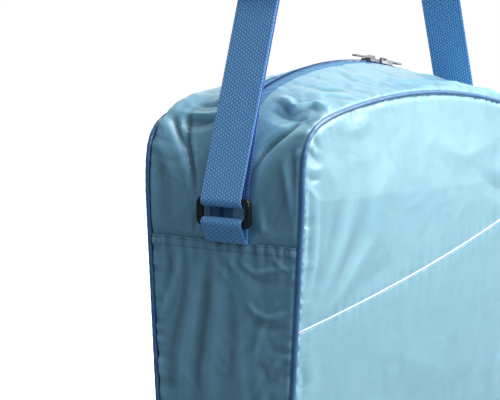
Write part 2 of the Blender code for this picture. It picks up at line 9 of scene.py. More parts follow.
# %% Load the frame
import json
import math

import bmesh
import bpy
import numpy as np
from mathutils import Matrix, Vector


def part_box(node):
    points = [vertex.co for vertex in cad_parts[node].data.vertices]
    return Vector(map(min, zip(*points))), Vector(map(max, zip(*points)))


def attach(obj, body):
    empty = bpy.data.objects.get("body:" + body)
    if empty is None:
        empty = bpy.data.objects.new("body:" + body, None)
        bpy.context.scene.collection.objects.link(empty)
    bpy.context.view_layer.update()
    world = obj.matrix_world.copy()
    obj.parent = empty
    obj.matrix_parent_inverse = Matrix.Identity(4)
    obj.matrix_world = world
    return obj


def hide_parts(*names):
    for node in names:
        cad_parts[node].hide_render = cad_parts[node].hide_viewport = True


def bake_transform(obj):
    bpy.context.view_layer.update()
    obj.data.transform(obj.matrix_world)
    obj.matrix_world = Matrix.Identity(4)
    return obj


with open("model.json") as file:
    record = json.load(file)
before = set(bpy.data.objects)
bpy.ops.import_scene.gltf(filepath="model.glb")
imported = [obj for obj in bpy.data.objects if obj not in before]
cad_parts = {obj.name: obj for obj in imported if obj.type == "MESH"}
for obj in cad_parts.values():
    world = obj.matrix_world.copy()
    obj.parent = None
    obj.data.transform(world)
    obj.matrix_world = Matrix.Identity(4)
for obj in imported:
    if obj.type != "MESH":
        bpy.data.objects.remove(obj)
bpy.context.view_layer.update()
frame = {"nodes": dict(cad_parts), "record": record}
MM = 0.001

# %% [markdown]
# ## The two outlines that shape the bag
#
# Seen from the front, the bag's edge is a corded seam: upright sides, full round
# corners and a gently arched top. Halfway back, along the zip, the gusset follows a
# second outline, which is pressed in where the strap lies and stands higher on top.
# Any point of the gusset is a blend of the two. Using outlines, rather than pushing a
# box about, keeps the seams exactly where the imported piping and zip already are.


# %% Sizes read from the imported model
def side_top(node):
    """Reach in x, and lowest and highest z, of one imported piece."""
    low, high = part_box(node)
    return high[0], low[2], high[2]


CORD = 2.5 * MM                       # radius of the piping round both panels
UNDER_CORD = 0.55 * CORD              # cloth reaches this far in under the cord
ZIP_EDGE = 15.0 * MM                  # the gusset strips stop this far from the middle
BAG_MIDDLE = np.array((0.0, 0.0, 0.2))
piping_side, piping_low, piping_high = side_top("front_piping")
ridge_side, _, ridge_high = side_top("zipper_tape_front")
END_SEAM_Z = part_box("lower_gusset")[1][2] + 0.3 * MM
TUCK = 4.0 * MM                       # the upper gusset runs this far behind the lower
DEPTH_TOP = 2.0 * (-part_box("front_piping")[0][1] - CORD)
DEPTH_BOTTOM = DEPTH_TOP - 35.0 * MM
TAPER_HEIGHT = 0.300
STRAP_Y = 0.5 * (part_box("ring_left")[0][1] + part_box("ring_left")[1][1])

seam_line = dict(side=piping_side - CORD, base=piping_low + CORD, low_start=0.115,
                 low_end=0.120, low_full=0.86, high_start=0.312, high_end=0.110,
                 high_full=0.88, apex=piping_high - CORD, radius=0.680)
ridge_line = dict(side=ridge_side, base=0.0, low_start=0.112, low_end=0.116,
                  low_full=0.86, high_start=0.285, high_end=0.125, high_full=0.60,
                  apex=ridge_high, radius=0.380)
print(f"seam line {seam_line['side']:.4f} m to each side, {seam_line['apex']:.4f} m high")


# %% Outline curves
def cubic_corner(start, cross, end, fullness, count):
    """A cubic from start to end whose handles lie `fullness` of the way to `cross`."""
    start, cross, end = (np.asarray(p, dtype=float) for p in (start, cross, end))
    near, far = start + fullness * (cross - start), end + fullness * (cross - end)
    t = np.linspace(0.0, 1.0, count)[:, None]
    return ((1 - t) ** 3 * start + 3 * (1 - t) ** 2 * t * near
            + 3 * (1 - t) * t ** 2 * far + t ** 3 * end)


def upper_half(line, first_z, side, corner, top):
    """Left half, upwards: a straight side, a full corner, then a true arc to x = 0."""
    x, reach, radius = -line["side"], -line["high_end"], line["radius"]
    centre_z = line["apex"] - radius
    rise = math.sqrt(radius ** 2 - reach ** 2)
    end = (reach, centre_z + rise)
    cross = (x, end[1] + reach / rise * (reach - x))
    up = np.linspace((x, first_z), (x, line["high_start"]), side)
    turn = cubic_corner((x, line["high_start"]), cross, end, line["high_full"], corner)
    angle = np.linspace(math.asin(reach / radius), 0.0, top)
    arch = np.stack([radius * np.sin(angle), centre_z + radius * np.cos(angle)], axis=1)
    return np.concatenate([up[:-1], turn[:-1], arch])


def lower_half(line, first_z, side, corner, base):
    """Left half, downwards: a straight side, a corner, then the flat base to x = 0."""
    x = -line["side"]
    share = np.linspace(0.0, 1.0, side)[:, None] ** 1.5
    down = (1.0 - share) * (x, first_z) + share * (x, line["low_start"])
    turn = cubic_corner((x, line["low_start"]), (x, line["base"]),
                        (-line["low_end"], line["base"]), line["low_full"], corner)
    flat = np.linspace((-line["low_end"], line["base"]), (0.0, line["base"]), base)
    return np.concatenate([down[:-1], turn[:-1], flat])


def mirrored(half):
    """A whole run from its left half, whose last point lies on x = 0."""
    return np.concatenate([half, half[-2::-1] * np.array((-1.0, 1.0))])


def over_top(line, fine):
    """End seam to end seam over the top, tucked a little way under both seams.

    `fine` is the number of points in each part of the run.
    """
    return mirrored(upper_half(line, END_SEAM_Z - TUCK, *fine))


def under_base(line, fine):
    """End seam to end seam under the base, with as many points as `fine` says."""
    return mirrored(lower_half(line, END_SEAM_Z, *fine))


def closed_outline(line):
    """The whole outline once round, without a repeated point."""
    over, under = over_top(line, (20, 60, 50)), under_base(line, (40, 60, 40))
    return np.concatenate([over, under[-2:0:-1]])


def travelled(run):
    """Distance along a run of points from its first one."""
    step = np.linalg.norm(np.diff(run, axis=0), axis=1)
    return np.concatenate([[0.0], np.cumsum(step)])


def half_depth(z):
    """Half the bag's depth: it widens steadily with height, then stays the same."""
    share = np.clip(np.asarray(z) / TAPER_HEIGHT, 0.0, 1.0)
    return 0.5 * (DEPTH_BOTTOM + (DEPTH_TOP - DEPTH_BOTTOM) * share)


TOP_FINE = (52, 120, 84)
BASE_FINE = (100, 58, 40)
seam_over, ridge_over = over_top(seam_line, TOP_FINE), over_top(ridge_line, TOP_FINE)
seam_under, ridge_under = under_base(seam_line, BASE_FINE), under_base(ridge_line, BASE_FINE)
print(f"run over the top {travelled(ridge_over)[-1]:.3f} m, "
      f"run under the base {travelled(ridge_under)[-1]:.3f} m")

# %% [markdown]
# ## Folds
#
# Thin nylon doesn't ripple evenly. It breaks into sharp valleys and soft ridges that
# run between the places that hold it: the ring, the corners and the seams. Noise
# alone gives a crumpled ball of paper, and a simulation would hide which fold came
# from where. So each main fold is a short line across the surface with a width and a
# height, laid where the cloth is pulled, and a seeded scatter of small ones
# fills the calm places.


# %% Fold field
def fold_height(a, b, folds, crisp=0.92):
    """Summed height of folds at surface coordinates a and b, in metres.

    A fold is (points, width, height). With x the distance over the width, its section
    mixes a tent, 1 - x / 1.9 with straight flanks and a sharp crest, and a soft bell,
    exp(-x squared). `crisp` is the tent's share. It fades along its line as a half sine.
    """
    total = np.zeros(np.broadcast(a, b).shape)
    for points, width, height in folds:
        points = np.asarray(points, dtype=float) * MM
        lengths = np.linalg.norm(np.diff(points, axis=0), axis=1)
        before = np.concatenate([[0.0], np.cumsum(lengths)])
        best = np.full(total.shape, np.inf)
        along = np.zeros(total.shape)
        for start, end, length, sofar in zip(points, points[1:], lengths, before):
            way = (end - start) / length
            t = np.clip((a - start[0]) * way[0] + (b - start[1]) * way[1], 0.0, length)
            gap = np.hypot(a - start[0] - t * way[0], b - start[1] - t * way[1])
            along = np.where(gap < best, (sofar + t) / before[-1], along)
            best = np.minimum(gap, best)
        fade = np.sin(math.pi * np.clip(along, 0.02, 0.98)) ** 0.7
        gap = best / (width * MM)
        tent = np.clip(1.0 - gap / 1.9, 0.0, 1.0)
        bell = np.exp(-gap ** 2)
        total += 0.8 * height * MM * fade * (crisp * tent + (1.0 - crisp) * bell)
    return total


def scattered(seed, count, low, high, long_way=0.0, width=(2.0, 5.0), height=(0.25, 0.8)):
    """Random short folds inside a rectangle (millimetres), leaning to `long_way`."""
    rng = np.random.default_rng(seed)
    folds = []
    for _ in range(count):
        centre = rng.uniform(low, high)
        angle = long_way + rng.normal(0.0, 0.7)
        reach = rng.uniform(7.0, 24.0)
        bend = rng.normal(0.0, 2.5, 2)
        way = np.array((math.cos(angle), math.sin(angle))) * reach
        size = rng.uniform(*height) * rng.choice((-1.0, 1.0))
        folds.append(([centre - way, centre + bend, centre + way],
                      rng.uniform(*width), size))
    return folds


def ripple(distance, seed, shortest=9.0, longest=34.0, waves=9):
    """Uneven waves along a seam, between -1 and 1: sines of random length and phase."""
    rng = np.random.default_rng(seed)
    total = np.zeros_like(distance)
    for _ in range(waves):
        length = rng.uniform(shortest, longest) * MM
        total += np.sin(2.0 * math.pi * (distance / length + rng.uniform()))
    return np.tanh(total / math.sqrt(waves) * 1.4)


# %% Folds listed one by one: coordinates are (depth y, distance above the end seam)
END_UPPER = [
    ([(82, 119), (72, 106), (55, 84), (42, 62), (35, 42)], 3.6, -7.6),
    ([(64, 133), (61, 108), (50, 84), (39, 58)], 2.6, -5.4),
    ([(72, 124), (64, 98), (50, 72), (40, 50)], 2.6, 2.6),
    ([(90, 90), (78, 66), (62, 36)], 8.0, 1.0),
    ([(74, 124), (58, 125), (40, 124), (20, 133)], 4.0, 5.6),
    ([(70, 113), (50, 112), (30, 118)], 5.0, -3.0),
    ([(66, 139), (44, 141), (24, 149)], 3.4, -3.4),
    ([(50, 152), (30, 152), (8, 160)], 3.2, 3.8),
    ([(54, 164), (32, 162), (8, 170)], 3.6, -3.0),
    ([(84, 60), (80, 130), (76, 220), (74, 330)], 13.0, 6.5),
    ([(92, 84), (86, 130), (78, 176)], 14.0, 7.0),
    ([(70, 180), (40, 196), (10, 190)], 9.0, 2.4),
    ([(-74, 126), (-62, 108), (-42, 86), (-28, 62)], 4.4, -9.2),
    ([(-86, 112), (-68, 92), (-48, 66), (-34, 40)], 8.0, 3.6),
    ([(-44, 86), (-36, 68), (-27, 44)], 2.4, -5.6),
    ([(-50, 80), (-42, 60), (-32, 40)], 2.2, 2.0),
    ([(-26, 156), (-42, 151), (-56, 142), (-70, 156), (-90, 150)], 4.0, 6.6),
    ([(-28, 136), (-50, 130), (-64, 128), (-80, 134)], 7.0, -5.4),
    ([(-78, 128), (-90, 118)], 5.0, -2.4),
    ([(-95, 146), (-84, 156), (-56, 176)], 6.0, 3.4),
    ([(-40, 168), (-60, 176), (-84, 196)], 5.0, 2.4),
    ([(-34, 186), (-56, 190), (-70, 204)], 3.4, -2.0),
    ([(-72, 72), (-80, 44), (-86, 14)], 3.0, 3.0),
    ([(-80, 84), (-87, 58), (-90, 30)], 3.0, -2.4),
    ([(-40, 26), (-52, 12), (-66, 4)], 3.4, 1.8),
    ([(-34, 30), (-36, 12), (-40, 2)], 2.6, -2.6),
    ([(-46, 34), (-52, 18), (-50, 4)], 2.4, 1.6),
    ([(40, 34), (52, 20), (72, 6)], 6.0, 2.0),
    ([(34, 24), (36, 12), (37, 2)], 3.0, -2.0),
    ([(88, 66), (80, 36), (78, 10)], 9.0, -2.4),
]
END_LOWER = [
    ([(50, 8), (60, 34), (72, 64), (86, 96)], 4.5, 4.4),
    ([(72, 16), (64, 40), (74, 74)], 7.0, -3.2),
    ([(40, 20), (52, 60), (66, 110), (70, 160)], 7.0, -3.0),
    ([(34, 14), (40, 60), (54, 120), (56, 180)], 7.0, 2.8),
    ([(17, 14), (20, 60), (32, 120), (36, 178)], 6.0, -4.2),
    ([(4, 20), (6, 70), (14, 130), (12, 190)], 8.0, 3.2),
    ([(-12, 46), (-14, 90), (-8, 140)], 5.0, -2.4),
    ([(-24, 90), (-26, 140), (-34, 186)], 7.0, 2.0),
    ([(-22, 14), (-30, 22), (-42, 28), (-58, 24), (-84, 20)], 2.4, 3.0),
    ([(-34, 30), (-48, 36), (-70, 33)], 5.0, -2.8),
    ([(-30, 56), (-44, 66), (-58, 70), (-84, 62)], 2.6, 3.6),
    ([(-36, 74), (-54, 80), (-80, 77)], 4.2, -2.6),
    ([(-57, 70), (-46, 92), (-40, 116)], 3.0, 2.2),
    ([(-62, 118), (-76, 108), (-88, 104)], 2.6, 2.8),
    ([(-44, 110), (-60, 130), (-84, 122)], 4.6, -2.4),
    ([(-54, 84), (-64, 100), (-80, 96)], 3.6, -2.0),
    ([(-50, 134), (-52, 160), (-44, 182)], 6.0, 2.0),
    ([(-66, 128), (-72, 160), (-66, 184)], 5.0, 1.8),
    ([(78, 100), (70, 130), (74, 170)], 8.0, -2.2),
    ([(-8, 8), (-12, 20), (-24, 34)], 3.0, 2.0),
    ([(-64, 2), (-66, 14), (-84, 24)], 2.2, 2.6),
]
print(f"{len(END_UPPER)} folds above the end seam and {len(END_LOWER)} below it")


# %% [markdown]
# ## Turning a grid of points into cloth
#
# All soft pieces are made the same way. A grid of points carries its own flat
# coordinates in metres, which become the UV map that the weave and the fine crumple
# follow. Raising points along the grid's own normals adds the folds, and Solidify
# gives the cloth its thickness so that no edge is a bare sheet.


# %% Mesh helpers
def grid_quads(rows, cols, closed=False):
    """Quads of a grid. Closed, the last column joins the first."""
    index = np.arange(rows * cols).reshape(rows, cols)
    if closed:
        index = np.concatenate([index, index[:, :1]], axis=1)
    quads = [index[:-1, :-1], index[1:, :-1], index[1:, 1:], index[:-1, 1:]]
    return np.stack(quads, axis=-1).reshape(-1, 4)


def new_piece(name, points, faces, uv=None):
    """A smooth-shaded object at the origin with its place in its mesh."""
    mesh = bpy.data.meshes.new(name)
    mesh.from_pydata(np.asarray(points, dtype=float).reshape(-1, 3).tolist(), [],
                     [list(map(int, face)) for face in faces])
    if uv is not None:
        layer = mesh.uv_layers.new(name="cloth")
        corner = np.zeros(len(mesh.loops), dtype=np.int32)
        mesh.loops.foreach_get("vertex_index", corner)
        pairs = np.asarray(uv, dtype=np.float32).reshape(-1, 2)
        layer.data.foreach_set("uv", pairs[corner].ravel())
    mesh.shade_smooth()
    mesh.set_sharp_from_angle(angle=math.radians(52.0))
    piece = bpy.data.objects.new(name, mesh)
    bpy.context.scene.collection.objects.link(piece)
    return piece


def grid_normals(grid):
    """Unit normals of a grid of points: the cross product of its two slopes."""
    normal = np.cross(np.gradient(grid, axis=0), np.gradient(grid, axis=1))
    return normal / np.maximum(np.linalg.norm(normal, axis=2, keepdims=True), 1e-12)


def outward_normals(grid):
    """Grid normals, turned to point away from the middle of the bag."""
    normal = grid_normals(grid)
    away = grid - BAG_MIDDLE
    return normal if np.sum(normal * away) > 0.0 else -normal


CREASE_FULL = 0.8 * MM                # a valley this deep counts as 1
CLOTH_WALL = 0.8 * MM


def crease_shade(rise, passes=10):
    """How far each point lies below its surroundings: 1 in a sharp valley, negative on
    a ridge. The surroundings are the same field after averaging it with its
    neighbours several times. The nylon finish uses it to paint shade into the valleys
    and a highlight onto the ridges.
    """
    soft = rise.copy()
    for _ in range(passes):
        soft[1:-1] = 0.25 * soft[:-2] + 0.5 * soft[1:-1] + 0.25 * soft[2:]
        soft[:, 1:-1] = 0.25 * soft[:, :-2] + 0.5 * soft[:, 1:-1] + 0.25 * soft[:, 2:]
    return np.clip((soft - rise) / CREASE_FULL, -0.6, 1.0)


def cloth(name, grid, flat, material, rise, thickness=CLOTH_WALL):
    """A sheet of cloth from a grid and its flat coordinates, given its wall inwards."""
    rows, cols = grid.shape[:2]
    faces = grid_quads(rows, cols)
    corner = grid.reshape(-1, 3)[faces]
    facing = np.cross(corner[:, 2] - corner[:, 0], corner[:, 3] - corner[:, 1])
    if np.sum(facing * (corner.mean(axis=1) - BAG_MIDDLE)) < 0.0:
        faces = faces[:, ::-1]
    piece = new_piece(name, grid, faces, flat)
    # crease: painted shade in the valleys of the folds, painted highlight on their ridges
    crease = piece.data.attributes.new("crease", "FLOAT", "POINT")
    crease.data.foreach_set("value", crease_shade(rise).astype(np.float32).ravel())
    wall = piece.modifiers.new("wall", "SOLIDIFY")
    wall.thickness = thickness
    wall.offset = -1.0
    piece.data.materials.append(material)
    return piece


def dress(piece, body, nodes):
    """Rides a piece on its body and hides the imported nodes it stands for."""
    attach(piece, body)
    if nodes:
        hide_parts(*nodes)
    return piece


# %% [markdown]
# ## Finishes
#
# The nylon is plain weave with a thin shiny coat on its face. At arm's length the
# weave is too fine to see: what shows is a soft gloss broken up by tiny crumples. So
# the shared group below makes a crumple height from stretched noise, and the gloss
# and colour move a little with it. Webbing and zip tape share a second group, whose
# pattern is a brick-like grid of raised float threads.


# %% Node helpers
def add_node(tree, kind, **values):
    """A node with its plain properties and its sockets (by name) set."""
    made = tree.nodes.new(kind)
    for key, value in values.items():
        if key in made.inputs:
            made.inputs[key].default_value = value
        else:
            setattr(made, key, value)
    return made


def sums(tree, operation, first, second=None, third=None):
    """A Math node. Each entry is a socket or a number."""
    made = add_node(tree, "ShaderNodeMath", operation=operation)
    for slot, entry in zip(made.inputs, (first, second, third)):
        if isinstance(entry, (int, float)):
            slot.default_value = entry
        elif entry is not None:
            tree.links.new(entry, slot)
    return made.outputs[0]


def new_group(name, inputs, outputs):
    """An empty node group. inputs are (name, kind, default), outputs (name, kind)."""
    group = bpy.data.node_groups.new(name, "ShaderNodeTree")
    for label, kind, default in inputs:
        socket = group.interface.new_socket(label, in_out="INPUT", socket_type=kind)
        if default is not None:
            socket.default_value = default
    for label, kind in outputs:
        group.interface.new_socket(label, in_out="OUTPUT", socket_type=kind)
    return group, group.nodes.new("NodeGroupInput"), group.nodes.new("NodeGroupOutput")


# %% Shared group: crumpled coat
def make_crumple_group():
    """Height and tone of small crumples: two noises, the second folded into creases."""
    group, given, out = new_group(
        "crumpled_coat",
        [("Vector", "NodeSocketVector", None), ("Crumple Scale", "NodeSocketFloat", 60.0)],
        [("Height", "NodeSocketFloat"), ("Tone", "NodeSocketFloat")])
    soft = add_node(group, "ShaderNodeTexNoise", Detail=3.0, Roughness=0.55, Distortion=0.6)
    group.links.new(given.outputs["Vector"], soft.inputs["Vector"])
    group.links.new(given.outputs["Crumple Scale"], soft.inputs["Scale"])
    sharp = add_node(group, "ShaderNodeTexNoise", Detail=4.0, Roughness=0.5, Distortion=1.2)
    group.links.new(given.outputs["Vector"], sharp.inputs["Vector"])
    group.links.new(sums(group, "MULTIPLY", given.outputs["Crumple Scale"], 2.3),
                    sharp.inputs["Scale"])
    folded = sums(group, "ABSOLUTE", sums(group, "SUBTRACT", sharp.outputs["Fac"], 0.5))
    crease = sums(group, "SUBTRACT", 0.35, folded)
    height = sums(group, "MULTIPLY_ADD", crease, 0.55, soft.outputs["Fac"])
    group.links.new(height, out.inputs["Height"])
    group.links.new(soft.outputs["Fac"], out.inputs["Tone"])
    return group


# %% Shared group: float threads
def make_weave_group():
    """Raised threads in a brick pattern on UV coordinates in metres.

    Columns run along u. Every second column is moved by half a thread, and a thread
    is a dome: one minus the squares of the distances from its middle.
    """
    group, given, out = new_group(
        "float_threads",
        [("UV", "NodeSocketVector", None), ("Column", "NodeSocketFloat", 0.0031),
         ("Thread", "NodeSocketFloat", 0.0037)],
        [("Height", "NodeSocketFloat"), ("Thread Mask", "NodeSocketFloat")])
    split = add_node(group, "ShaderNodeSeparateXYZ")
    group.links.new(given.outputs["UV"], split.inputs[0])
    column = sums(group, "DIVIDE", split.outputs["Y"], given.outputs["Column"])
    odd = sums(group, "FLOORED_MODULO", sums(group, "FLOOR", column), 2.0)
    row = sums(group, "MULTIPLY_ADD", odd, 0.5,
               sums(group, "DIVIDE", split.outputs["X"], given.outputs["Thread"]))
    across = sums(group, "SUBTRACT", sums(group, "FRACT", column), 0.5)
    along = sums(group, "SUBTRACT", sums(group, "FRACT", row), 0.5)
    squares = [sums(group, "POWER", sums(group, "DIVIDE", sums(group, "ABSOLUTE", way), half), 2.0)
               for way, half in ((across, 0.38), (along, 0.46))]
    far = sums(group, "ADD", *squares)
    dome = sums(group, "MAXIMUM", sums(group, "SUBTRACT", 1.0, far), 0.0)
    group.links.new(sums(group, "SQRT", dome), out.inputs["Height"])
    # The thread mask marks the raised threads, which the webbing finish paints lighter: a painted
    # highlight.
    thread_highlight_mask = sums(group, "SMOOTH_MIN", sums(group, "MULTIPLY", dome, 1.3), 1.0, 0.2)
    group.links.new(thread_highlight_mask, out.inputs["Thread Mask"])
    return group


crumpled_coat = make_crumple_group()
float_threads = make_weave_group()
print("shader groups:", crumpled_coat.name, "and", float_threads.name)


# %% Material builders
def start_material(name, **constants):
    """A material and its Principled shader, constants set on the shader's sockets."""
    material = bpy.data.materials.new(name)
    material.use_nodes = True
    shader = material.node_tree.nodes["Principled BSDF"]
    for label, value in constants.items():
        shader.inputs[label.replace("_", " ")].default_value = value
    return material, material.node_tree, shader


def tone_ramp(tree, factor, dark, light, low=0.3, high=0.7):
    """A colour ramp between two colours."""
    ramp = add_node(tree, "ShaderNodeValToRGB")
    ramp.color_ramp.elements[0].position, ramp.color_ramp.elements[1].position = low, high
    ramp.color_ramp.elements[0].color = (*dark, 1.0)
    ramp.color_ramp.elements[1].color = (*light, 1.0)
    tree.links.new(factor, ramp.inputs[0])
    return ramp.outputs["Color"]


def bump(tree, shader, height, strength, distance):
    """A Bump node between a height and the shader's normal."""
    made = add_node(tree, "ShaderNodeBump", Strength=strength, Distance=distance)
    tree.links.new(height, made.inputs["Height"])
    tree.links.new(made.outputs["Normal"], shader.inputs["Normal"])
    return made


def placed_group(tree, group, source_socket, vector_name, **values):
    """A shared group in one material, fed with coordinates and its own values."""
    made = add_node(tree, "ShaderNodeGroup", node_tree=group)
    tree.links.new(source_socket, made.inputs[vector_name])
    for label, value in values.items():
        made.inputs[label.replace("_", " ")].default_value = value
    return made


def coated_nylon(name, dark, light, scale, valley):
    """Coated nylon: soft gloss and slight tone changes that follow the crumples.

    Deep in a crease the cloth loses the share `valley` of its colour: painted shade. On a ridge it
    gains up to 0.6 of that share: a painted highlight.
    """
    material, tree, shader = start_material(
        name, Sheen_Weight=0.22, Sheen_Roughness=0.35, Coat_Roughness=0.26,
        Specular_IOR_Level=0.7)
    place = add_node(tree, "ShaderNodeTexCoord")
    crumple = placed_group(tree, crumpled_coat, place.outputs["Object"], "Vector",
                           Crumple_Scale=scale)
    colour = tone_ramp(tree, crumple.outputs["Tone"], dark, light)
    # Painted shade and highlight: the colour is scaled down in the folds' valleys and up on their
    # ridges.
    crease = add_node(tree, "ShaderNodeAttribute", attribute_name="crease")
    shaded = add_node(tree, "ShaderNodeVectorMath", operation="SCALE")
    tree.links.new(colour, shaded.inputs[0])
    tree.links.new(sums(tree, "MULTIPLY_ADD", crease.outputs["Fac"], -valley, 1.0),
                   shaded.inputs["Scale"])
    tree.links.new(shaded.outputs[0], shader.inputs["Base Color"])
    rough = sums(tree, "MULTIPLY_ADD", crumple.outputs["Tone"], 0.16, 0.24)
    tree.links.new(rough, shader.inputs["Roughness"])
    coat = sums(tree, "MULTIPLY_ADD", crumple.outputs["Tone"], 0.45, 0.10)
    tree.links.new(coat, shader.inputs["Coat Weight"])
    bump(tree, shader, crumple.outputs["Height"], 0.32, 1.6 * MM)
    return material


def webbing(name, dark, light, column=3.125 * MM, thread=3.7 * MM, strength=0.8, sheen=0.8):
    """Webbing or tape: raised threads over a ground, slightly furry. The threads are painted
    lighter than the ground: a painted highlight.
    """
    material, tree, shader = start_material(name, Sheen_Weight=sheen, Sheen_Roughness=0.5,
                                            Sheen_Tint=(0.45, 0.72, 1.0, 1.0),
                                            Specular_IOR_Level=0.35)
    place = add_node(tree, "ShaderNodeUVMap", uv_map="cloth")
    weave = placed_group(tree, float_threads, place.outputs["UV"], "UV",
                         Column=column, Thread=thread)
    patchy = add_node(tree, "ShaderNodeTexNoise", Scale=900.0, Detail=2.0)
    solid = add_node(tree, "ShaderNodeTexCoord")
    tree.links.new(solid.outputs["Object"], patchy.inputs["Vector"])
    # Painted highlight: the raised threads are painted lighter than the ground between them.
    thread_highlight_mask = sums(tree, "MULTIPLY_ADD", sums(tree, "SUBTRACT", patchy.outputs["Fac"], 0.5), 0.5,
                weave.outputs["Thread Mask"])
    tree.links.new(tone_ramp(tree, thread_highlight_mask, dark, light, 0.05, 0.95), shader.inputs["Base Color"])
    rough = sums(tree, "MULTIPLY_ADD", weave.outputs["Thread Mask"], -0.22, 0.72)
    tree.links.new(rough, shader.inputs["Roughness"])
    fuzz = sums(tree, "MULTIPLY_ADD", patchy.outputs["Fac"], 0.25, weave.outputs["Height"])
    bump(tree, shader, fuzz, strength, 0.45 * MM)
    return material


def plain_finish(name, dark, light, rough=(0.3, 0.5), scale=300.0, strength=0.15,
                 distance=0.2 * MM, **constants):
    """Moulded or turned finish: fine noise moves its tone, gloss and surface."""
    material, tree, shader = start_material(name, **constants)
    place = add_node(tree, "ShaderNodeTexCoord")
    grain = add_node(tree, "ShaderNodeTexNoise", Scale=scale, Detail=4.0, Roughness=0.6)
    tree.links.new(place.outputs["Object"], grain.inputs["Vector"])
    tree.links.new(tone_ramp(tree, grain.outputs["Fac"], dark, light), shader.inputs["Base Color"])
    gloss = sums(tree, "MULTIPLY_ADD", grain.outputs["Fac"], rough[1] - rough[0], rough[0])
    tree.links.new(gloss, shader.inputs["Roughness"])
    bump(tree, shader, grain.outputs["Fac"], strength, distance)
    return material


# %% The bag's finishes
# The gusset nylon is the panel nylon painted darker: painted shade, as the ends of the bag stand
# in shade.
gusset_cloth_shaded = coated_nylon("gusset_nylon_shaded", (0.185, 0.41, 0.53), (0.225, 0.47, 0.60), 46.0, 0.36)
panel_cloth = coated_nylon("panel_nylon", (0.265, 0.51, 0.62), (0.30, 0.56, 0.67), 34.0, 0.20)
cord_cloth = coated_nylon("piping_nylon", (0.055, 0.17, 0.36), (0.075, 0.22, 0.43), 90.0, 0.0)
trim_cloth = plain_finish("white_trim", (0.62, 0.68, 0.72), (0.74, 0.78, 0.80), (0.3, 0.5))
# Webbing and tape: their light colour is the painted highlight on the raised threads.
strap_weave = webbing("strap_webbing", (0.12, 0.36, 0.80), (0.34, 0.70, 1.0))
inner_weave = webbing("strap_webbing_shaded", (0.045, 0.10, 0.40), (0.12, 0.25, 0.66))
tape_weave = webbing("zip_tape", (0.085, 0.25, 0.45), (0.125, 0.32, 0.53),
                     column=1.1 * MM, thread=1.5 * MM, strength=0.5, sheen=0.2)
coil_finish = plain_finish("zip_coil", (0.055, 0.13, 0.30), (0.08, 0.18, 0.38), (0.25, 0.4))
black_finish = plain_finish("moulded_black", (0.006, 0.010, 0.010), (0.014, 0.018, 0.018),
                            (0.22, 0.36), Coat_Weight=0.25, Coat_Roughness=0.2)
metal_finish = plain_finish("plated_metal", (0.50, 0.52, 0.55), (0.62, 0.64, 0.66),
                            (0.18, 0.34), scale=900.0, Metallic=1.0)
thread_finish = plain_finish("stitch_thread", (0.10, 0.27, 0.40), (0.15, 0.35, 0.48), (0.5, 0.7))
binding_finish = plain_finish("binding_tape", (0.04, 0.11, 0.26), (0.06, 0.15, 0.33), (0.6, 0.8))
board_finish = plain_finish("base_sheet", (0.09, 0.10, 0.11), (0.12, 0.13, 0.14), (0.5, 0.7))
print(f"{len(bpy.data.materials)} materials")

# %% [markdown]
# ## Gussets
#
# The upper gusset is two strips with the zip between them, and the lower gusset is
# one long strip down both ends and under the base. Each is the blend of the two
# outlines, with folds raised along its normals. Close to the corded seams the cloth
# dips under the cord and puckers, because the stitching gathers it.


# %% Gusset surface
def gusset_grid(seam_run, ridge_run, y, power, base=False):
    """Points of the gusset at depths y (stations, columns).

    The ridge's rise over the seam fades as one minus v to a power, v being y over
    half the depth. Under the base the rise keeps its full height, so the bag stands
    flat. Over the top the power is low and the cloth hangs from the zip like a tent.
    """
    v = y / half_depth(seam_run[:, 1])[:, None]
    weight = 1.0 - np.abs(v) ** power
    if base:
        flat = np.clip((1.0 - np.abs(v)) / 0.12, 0.0, 1.0)
        low = np.clip((0.150 - seam_run[:, 1]) / 0.140, 0.0, 1.0)[:, None]
        weight = weight * (1.0 - low) + flat * low
    run = seam_run[:, None, :] + weight[..., None] * (ridge_run - seam_run)[:, None, :]
    return np.stack([run[..., 0], y, run[..., 1]], axis=-1)


def spread(low, high, count, crowd=0.78):
    """Columns of depths between two edges, crowded together towards both of them."""
    even = np.linspace(0.0, 1.0, count)
    share = even - crowd * np.sin(2.0 * math.pi * even) / (2.0 * math.pi)
    return low[:, None] + (high - low)[:, None] * share


def seam_pull(edge_distance, along, seed, tuck=6.0, lip=3.0, pucker=0.7):
    """Cloth beside a corded seam: a raised lip, then a sharp tuck in beside the cord.

    The tuck falls off within 1.3 mm of the cord and the lip within 8 mm, so a dark
    slot is left along the cord. Puckers reach about a centimetre in.
    """
    inside = np.exp(-edge_distance / (1.3 * MM))
    near = np.exp(-edge_distance / (8.0 * MM))
    wide = np.exp(-edge_distance / (10.0 * MM))
    waves = ripple(along, seed, 9.0, 46.0)
    waves = waves * np.abs(waves)
    return MM * (-tuck * inside + lip * near * (1.0 + 0.22 * waves) + pucker * wide * waves)


STITCH_HIGH, STITCH_LOW = 2.4 * MM, 9.8 * MM


def end_seam_pull(below, y, seed):
    """Cloth under an end seam: two sewn grooves, with upright puckers about them."""
    grooves = (np.exp(-np.abs(below - STITCH_HIGH) / (0.9 * MM))
               + np.exp(-np.abs(below - STITCH_LOW) / (0.9 * MM)))
    band = np.exp(-((below - 0.5 * (STITCH_HIGH + STITCH_LOW)) / (4.6 * MM)) ** 2)
    gather = ripple(y, seed, 3.5, 9.0, 12)
    tail = np.exp(-below / (18.0 * MM)) * ripple(y, seed + 1, 9.0, 24.0)
    return MM * (0.45 * band * gather + 1.0 * tail - 0.6 * grooves)


